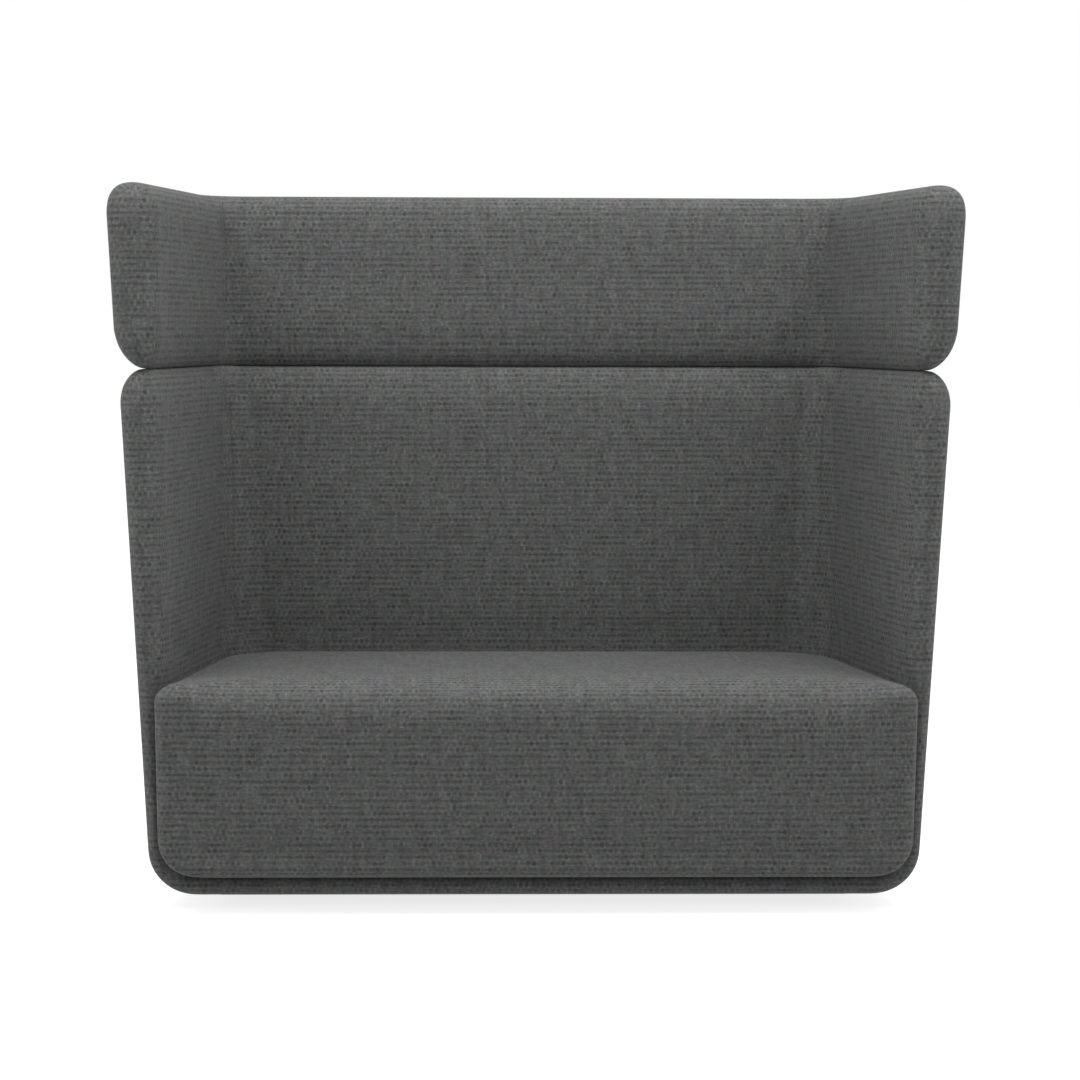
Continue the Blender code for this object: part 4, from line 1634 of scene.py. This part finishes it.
    def fill_in(self, sewn: Patchwork, edge: list[int], grid: np.ndarray, ring: np.ndarray,
                crown: float, height: float) -> None:
        """Closes the top or the underside with a grid of faces.

        Args:
            sewn: The cover.
            edge: Numbers of the points round the edge.
            grid: Points of the surface, its border on the edge.
            ring: Points of the edge.
            crown: How far the middle rises.
            height: Cloth height at the edge.
        """
        wide, deep = grid.shape[0] - 1, grid.shape[1] - 1
        across, back = self.crown_powers
        numbers = np.zeros(grid.shape[:2], int)
        front = ring[:, 1].min()
        for i in range(wide + 1):
            for j in range(deep + 1):
                if j == 0:
                    numbers[i, j] = edge[i]
                elif i == wide:
                    numbers[i, j] = edge[wide + j]
                elif j == deep:
                    numbers[i, j] = edge[2 * wide + deep - i]
                elif i == 0:
                    numbers[i, j] = edge[-j]
                else:
                    u, v = 2.0 * i / wide - 1.0, 2.0 * j / deep - 1.0
                    spot = grid[i, j].copy()
                    spot[2] += crown * (1.0 - u**across) * (1.0 - v**back)
                    numbers[i, j] = sewn.point(spot)
        for i in range(wide):
            for j in range(deep):
                spots = [numbers[c] for c in ((i, j), (i + 1, j), (i + 1, j + 1), (i, j + 1))]
                points = [sewn.points[n] for n in spots]
                sewn.face(spots, [(p[0], height + p[1] - front) for p in points])

    def looseness(self, points: np.ndarray) -> np.ndarray:
        """How far the cover may swell: its top and front do, the rest is held by what it touches.

        Args:
            points: Points of the cover.

        Returns:
            How free each point is, from 0 to 1.
        """
        front = points[:, 1].min()
        free = np.zeros(len(points))
        for n, (x, y, z) in enumerate(points):
            depth = y - self.plan.front_y
            half = self.plan.line(z)[0] - self.plan.splay * depth
            side = ease(half - abs(x), *self.side_ease)
            faced = 1.0 - ease(y - front, *self.front_ease)
            upper = ease(z, self.edge_top - self.top_ease, self.edge_top)
            rear = 1.0 - ease(depth, *self.rear_ease)
            lower = ease(z - self.bottom, *self.low_ease)
            free[n] = side * lower * max(faced, upper * rear)
        return free


@dataclass
class Studio:
    """Pale floor, soft light from above and from the sides, and the camera in front."""

    lens: float = 90.1227
    sensor: float = 36.0
    camera_spot: Triple = (-0.196, -5.241, 1.0765)
    pitch: float = -4.478
    yaw: float = -1.2
    roll: float = 0.17
    shift: Span = (0.0493, 0.0)
    floor_size: float = 60.0
    floor_bounce: float = 0.22
    floor_lift: float = 0.34
    floor_shown: float = 0.80
    floor_glow: float = 0.78
    sky_low: float = 0.0
    sky_high: float = 0.71
    key_power: float = 70.0
    key_spot: Triple = (0.0, -0.85, 3.2)
    key_size: Span = (5.0, 1.2)
    side_power: float = 14.0
    side_spot: Triple = (3.2, -0.5, 0.8)
    side_size: Span = (0.6, 1.6)

    def set_camera(self) -> None:
        """Makes the camera and hands it to the scene."""
        data = bpy.data.cameras.new("front_camera")
        data.lens = self.lens
        data.sensor_width = self.sensor
        data.shift_x, data.shift_y = self.shift
        made = bpy.data.objects.new(data.name, data)
        turn = (Matrix.Rotation(math.radians(self.yaw), 4, "Z")
                @ Matrix.Rotation(math.radians(90.0 + self.pitch), 4, "X")
                @ Matrix.Rotation(math.radians(self.roll), 4, "Z"))
        made.matrix_world = Matrix.Translation(self.camera_spot) @ turn
        bpy.context.scene.collection.objects.link(made)
        bpy.context.scene.camera = made

    def seen(self, tree: bpy.types.NodeTree) -> Socket:
        """Socket that is 1 for the rays that show the background and 0 for those that light.

        Args:
            tree: The tree to add the nodes to.

        Returns:
            The socket.
        """
        path = tree.nodes.new("ShaderNodeLightPath")
        total = path.outputs["Is Camera Ray"]
        for name in ("Is Glossy Ray", "Is Transmission Ray"):
            joined = tree.nodes.new("ShaderNodeMath")
            joined.operation = "MAXIMUM"
            tree.links.new(total, joined.inputs[0])
            tree.links.new(path.outputs[name], joined.inputs[1])
            total = joined.outputs[0]
        return total

    def show(self, tree: bpy.types.NodeTree, lights: Socket, shown: Socket, output: str) -> None:
        """Shows one surface to the eye and lets another light the sofa.

        Args:
            tree: The tree to add the nodes to.
            lights: What the lighting rays meet.
            shown: What the camera and reflections meet.
            output: Name of the tree's output node.
        """
        mixed = tree.nodes.new("ShaderNodeMixShader")
        for index, given in enumerate((self.seen(tree), lights, shown)):
            tree.links.new(given, mixed.inputs[index])
        tree.links.new(mixed.outputs[0], tree.nodes[output].inputs[0])

    def set_world(self) -> None:
        """Lights the scene by a sky that is brighter overhead, shown as plain white."""
        world = bpy.data.worlds.new("soft_sky")
        world.use_nodes = True
        bpy.context.scene.world = world
        tree = world.node_tree
        sky = tree.nodes["Background"]
        where = tree.nodes.new("ShaderNodeTexCoord")
        split = tree.nodes.new("ShaderNodeSeparateXYZ")
        tree.links.new(where.outputs["Generated"], split.inputs[0])
        level = tree.nodes.new("ShaderNodeMapRange")
        tree.links.new(split.outputs[2], level.inputs[0])
        level.inputs["To Min"].default_value = self.sky_low
        level.inputs["To Max"].default_value = self.sky_high
        tree.links.new(level.outputs[0], sky.inputs["Strength"])
        sky.inputs["Color"].default_value = WHITE
        white = tree.nodes.new("ShaderNodeBackground")
        white.inputs["Color"].default_value = WHITE
        self.show(tree, sky.outputs[0], white.outputs[0], "World Output")

    def set_floor(self) -> None:
        """Lays the pale floor, which keeps the sofa's shadow."""
        deselect()
        bpy.ops.mesh.primitive_plane_add(size=self.floor_size)
        floor = bpy.context.active_object
        floor.name = "studio_floor"
        graph = Graph("pale_floor")
        tree = graph.tree
        tree.nodes.remove(graph.shader)
        surfaces = []
        for matt, own in ((self.floor_bounce, self.floor_lift), (self.floor_shown, self.floor_glow)):
            surface = tree.nodes.new("ShaderNodeBsdfDiffuse")
            surface.inputs["Color"].default_value = (matt, matt, matt, 1.0)
            glow = tree.nodes.new("ShaderNodeEmission")
            glow.inputs["Strength"].default_value = own
            lit = tree.nodes.new("ShaderNodeAddShader")
            tree.links.new(surface.outputs[0], lit.inputs[0])
            tree.links.new(glow.outputs[0], lit.inputs[1])
            surfaces.append(lit.outputs[0])
        self.show(tree, *surfaces, "Material Output")
        floor.data.materials.append(graph.material)

    def set_lamp(self, name: str, power: float, size: Span, spot: Triple, aim: Triple) -> None:
        """Sets up one broad lamp that the camera does not see.

        Args:
            name: The lamp's name.
            power: Its power in watts.
            size: Its width and height.
            spot: Where it hangs.
            aim: The point it shines at.
        """
        data = bpy.data.lights.new(name, "AREA")
        data.shape = "RECTANGLE"
        data.size, data.size_y = size
        data.energy = power
        made = bpy.data.objects.new(name, data)
        made.location = spot
        made.rotation_euler = (Vector(aim) - Vector(spot)).to_track_quat("-Z", "Y").to_euler()
        made.visible_camera = False
        bpy.context.scene.collection.objects.link(made)

    def set_lamps(self) -> None:
        """Hangs a lamp above the seat and a weak one on each side, which lights the rounded edges."""
        below = (*self.key_spot[:2], 0.0)
        self.set_lamp("overhead_softbox", self.key_power, self.key_size, self.key_spot, below)
        x, y, z = self.side_spot
        for name, spot in (("left", (-x, y, z)), ("right", (x, y, z))):
            self.set_lamp(f"{name}_softbox", self.side_power, self.side_size, spot, (0.0, y, z))

    def build(self) -> None:
        """Sets up the camera, the light and the floor."""
        bpy.context.scene.view_settings.view_transform = "Standard"
        self.set_camera()
        self.set_world()
        self.set_floor()
        self.set_lamps()


@dataclass
class Hardware:
    """Frame, posts, glides and lining that stay as the CAD has them."""

    timber: Wood = Wood("beech_timber", (0.52, 0.35, 0.20), (0.36, 0.22, 0.11), (1.0, 8.0, 8.0), 9.0)
    plywood: Wood = Wood("birch_plywood", (0.66, 0.50, 0.32), (0.50, 0.35, 0.20), (1.0, 1.0, 6.0), 14.0)
    steel: Steel = Steel()
    nylon: Moulding = Moulding()
    fleece: Fleece = Fleece()
    webbing: Webbing = Webbing()

    def dress(self, nodes: dict[str, Piece]) -> None:
        """Gives every node that is still shown its finish.

        Args:
            nodes: The CAD nodes by name.
        """
        words = {
            self.steel: ("post", "sleeve", "insert", "bolt"),
            self.timber: ("rail", "block"),
            self.plywood: ("core", "panel"),
            self.nylon: ("glide",),
            self.fleece: ("dust_cover",),
            self.webbing: ("webbing",),
        }
        finishes = [(finish.build(), parts) for finish, parts in words.items()]
        for name, node in sorted(nodes.items()):
            if node.hide_render:
                continue
            material = next(made for made, parts in finishes if any(part in name for part in parts))
            node.data.materials.clear()
            node.data.materials.append(material)
            LOG.info("%s: %s", name, material.name)


def main() -> None:
    """Builds the sofa's covers, dresses the rest and sets up the studio."""
    logging.basicConfig(level=logging.INFO, format="%(message)s")
    cloth = WovenCloth().build()
    plan = WallPlan()
    shell_low, shell_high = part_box("shell_cover")
    rest_low, rest_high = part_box("headrest_cover")
    press = PRESS_SHARE * (rest_low.z - shell_high.z)
    arms = ("left_arm_padding", "right_arm_padding", "left_corner_padding", "right_corner_padding")
    shell = Shell(plan, "shell_cover_padded", "sofa",
                  ("shell_cover", "front_border_cover", "back_padding", *arms),
                  shell_low.z, shell_high.z + press, footed=True, top_flat=0.003, top_inward=0.012)
    wings = ("headrest_left_wing_padding", "headrest_right_wing_padding")
    headrest = PaddedWall(plan, "headrest_cover_padded", "headrest",
                          ("headrest_cover", "headrest_back_padding", *wings),
                          rest_low.z - press, rest_high.z, proud=0.0035, bottom_flat=0.003,
                          top_square=0.8, low_crown=0.072, bottom_inward=0.017, corner_pinch=0.6,
                          wall_steps=14)
    shell.dress(cloth)
    headrest.dress(cloth)
    SeatBlock(plan).dress(cloth)
    Hardware().dress(frame["nodes"])
    Studio().build()


if __name__ == "__main__":
    main()
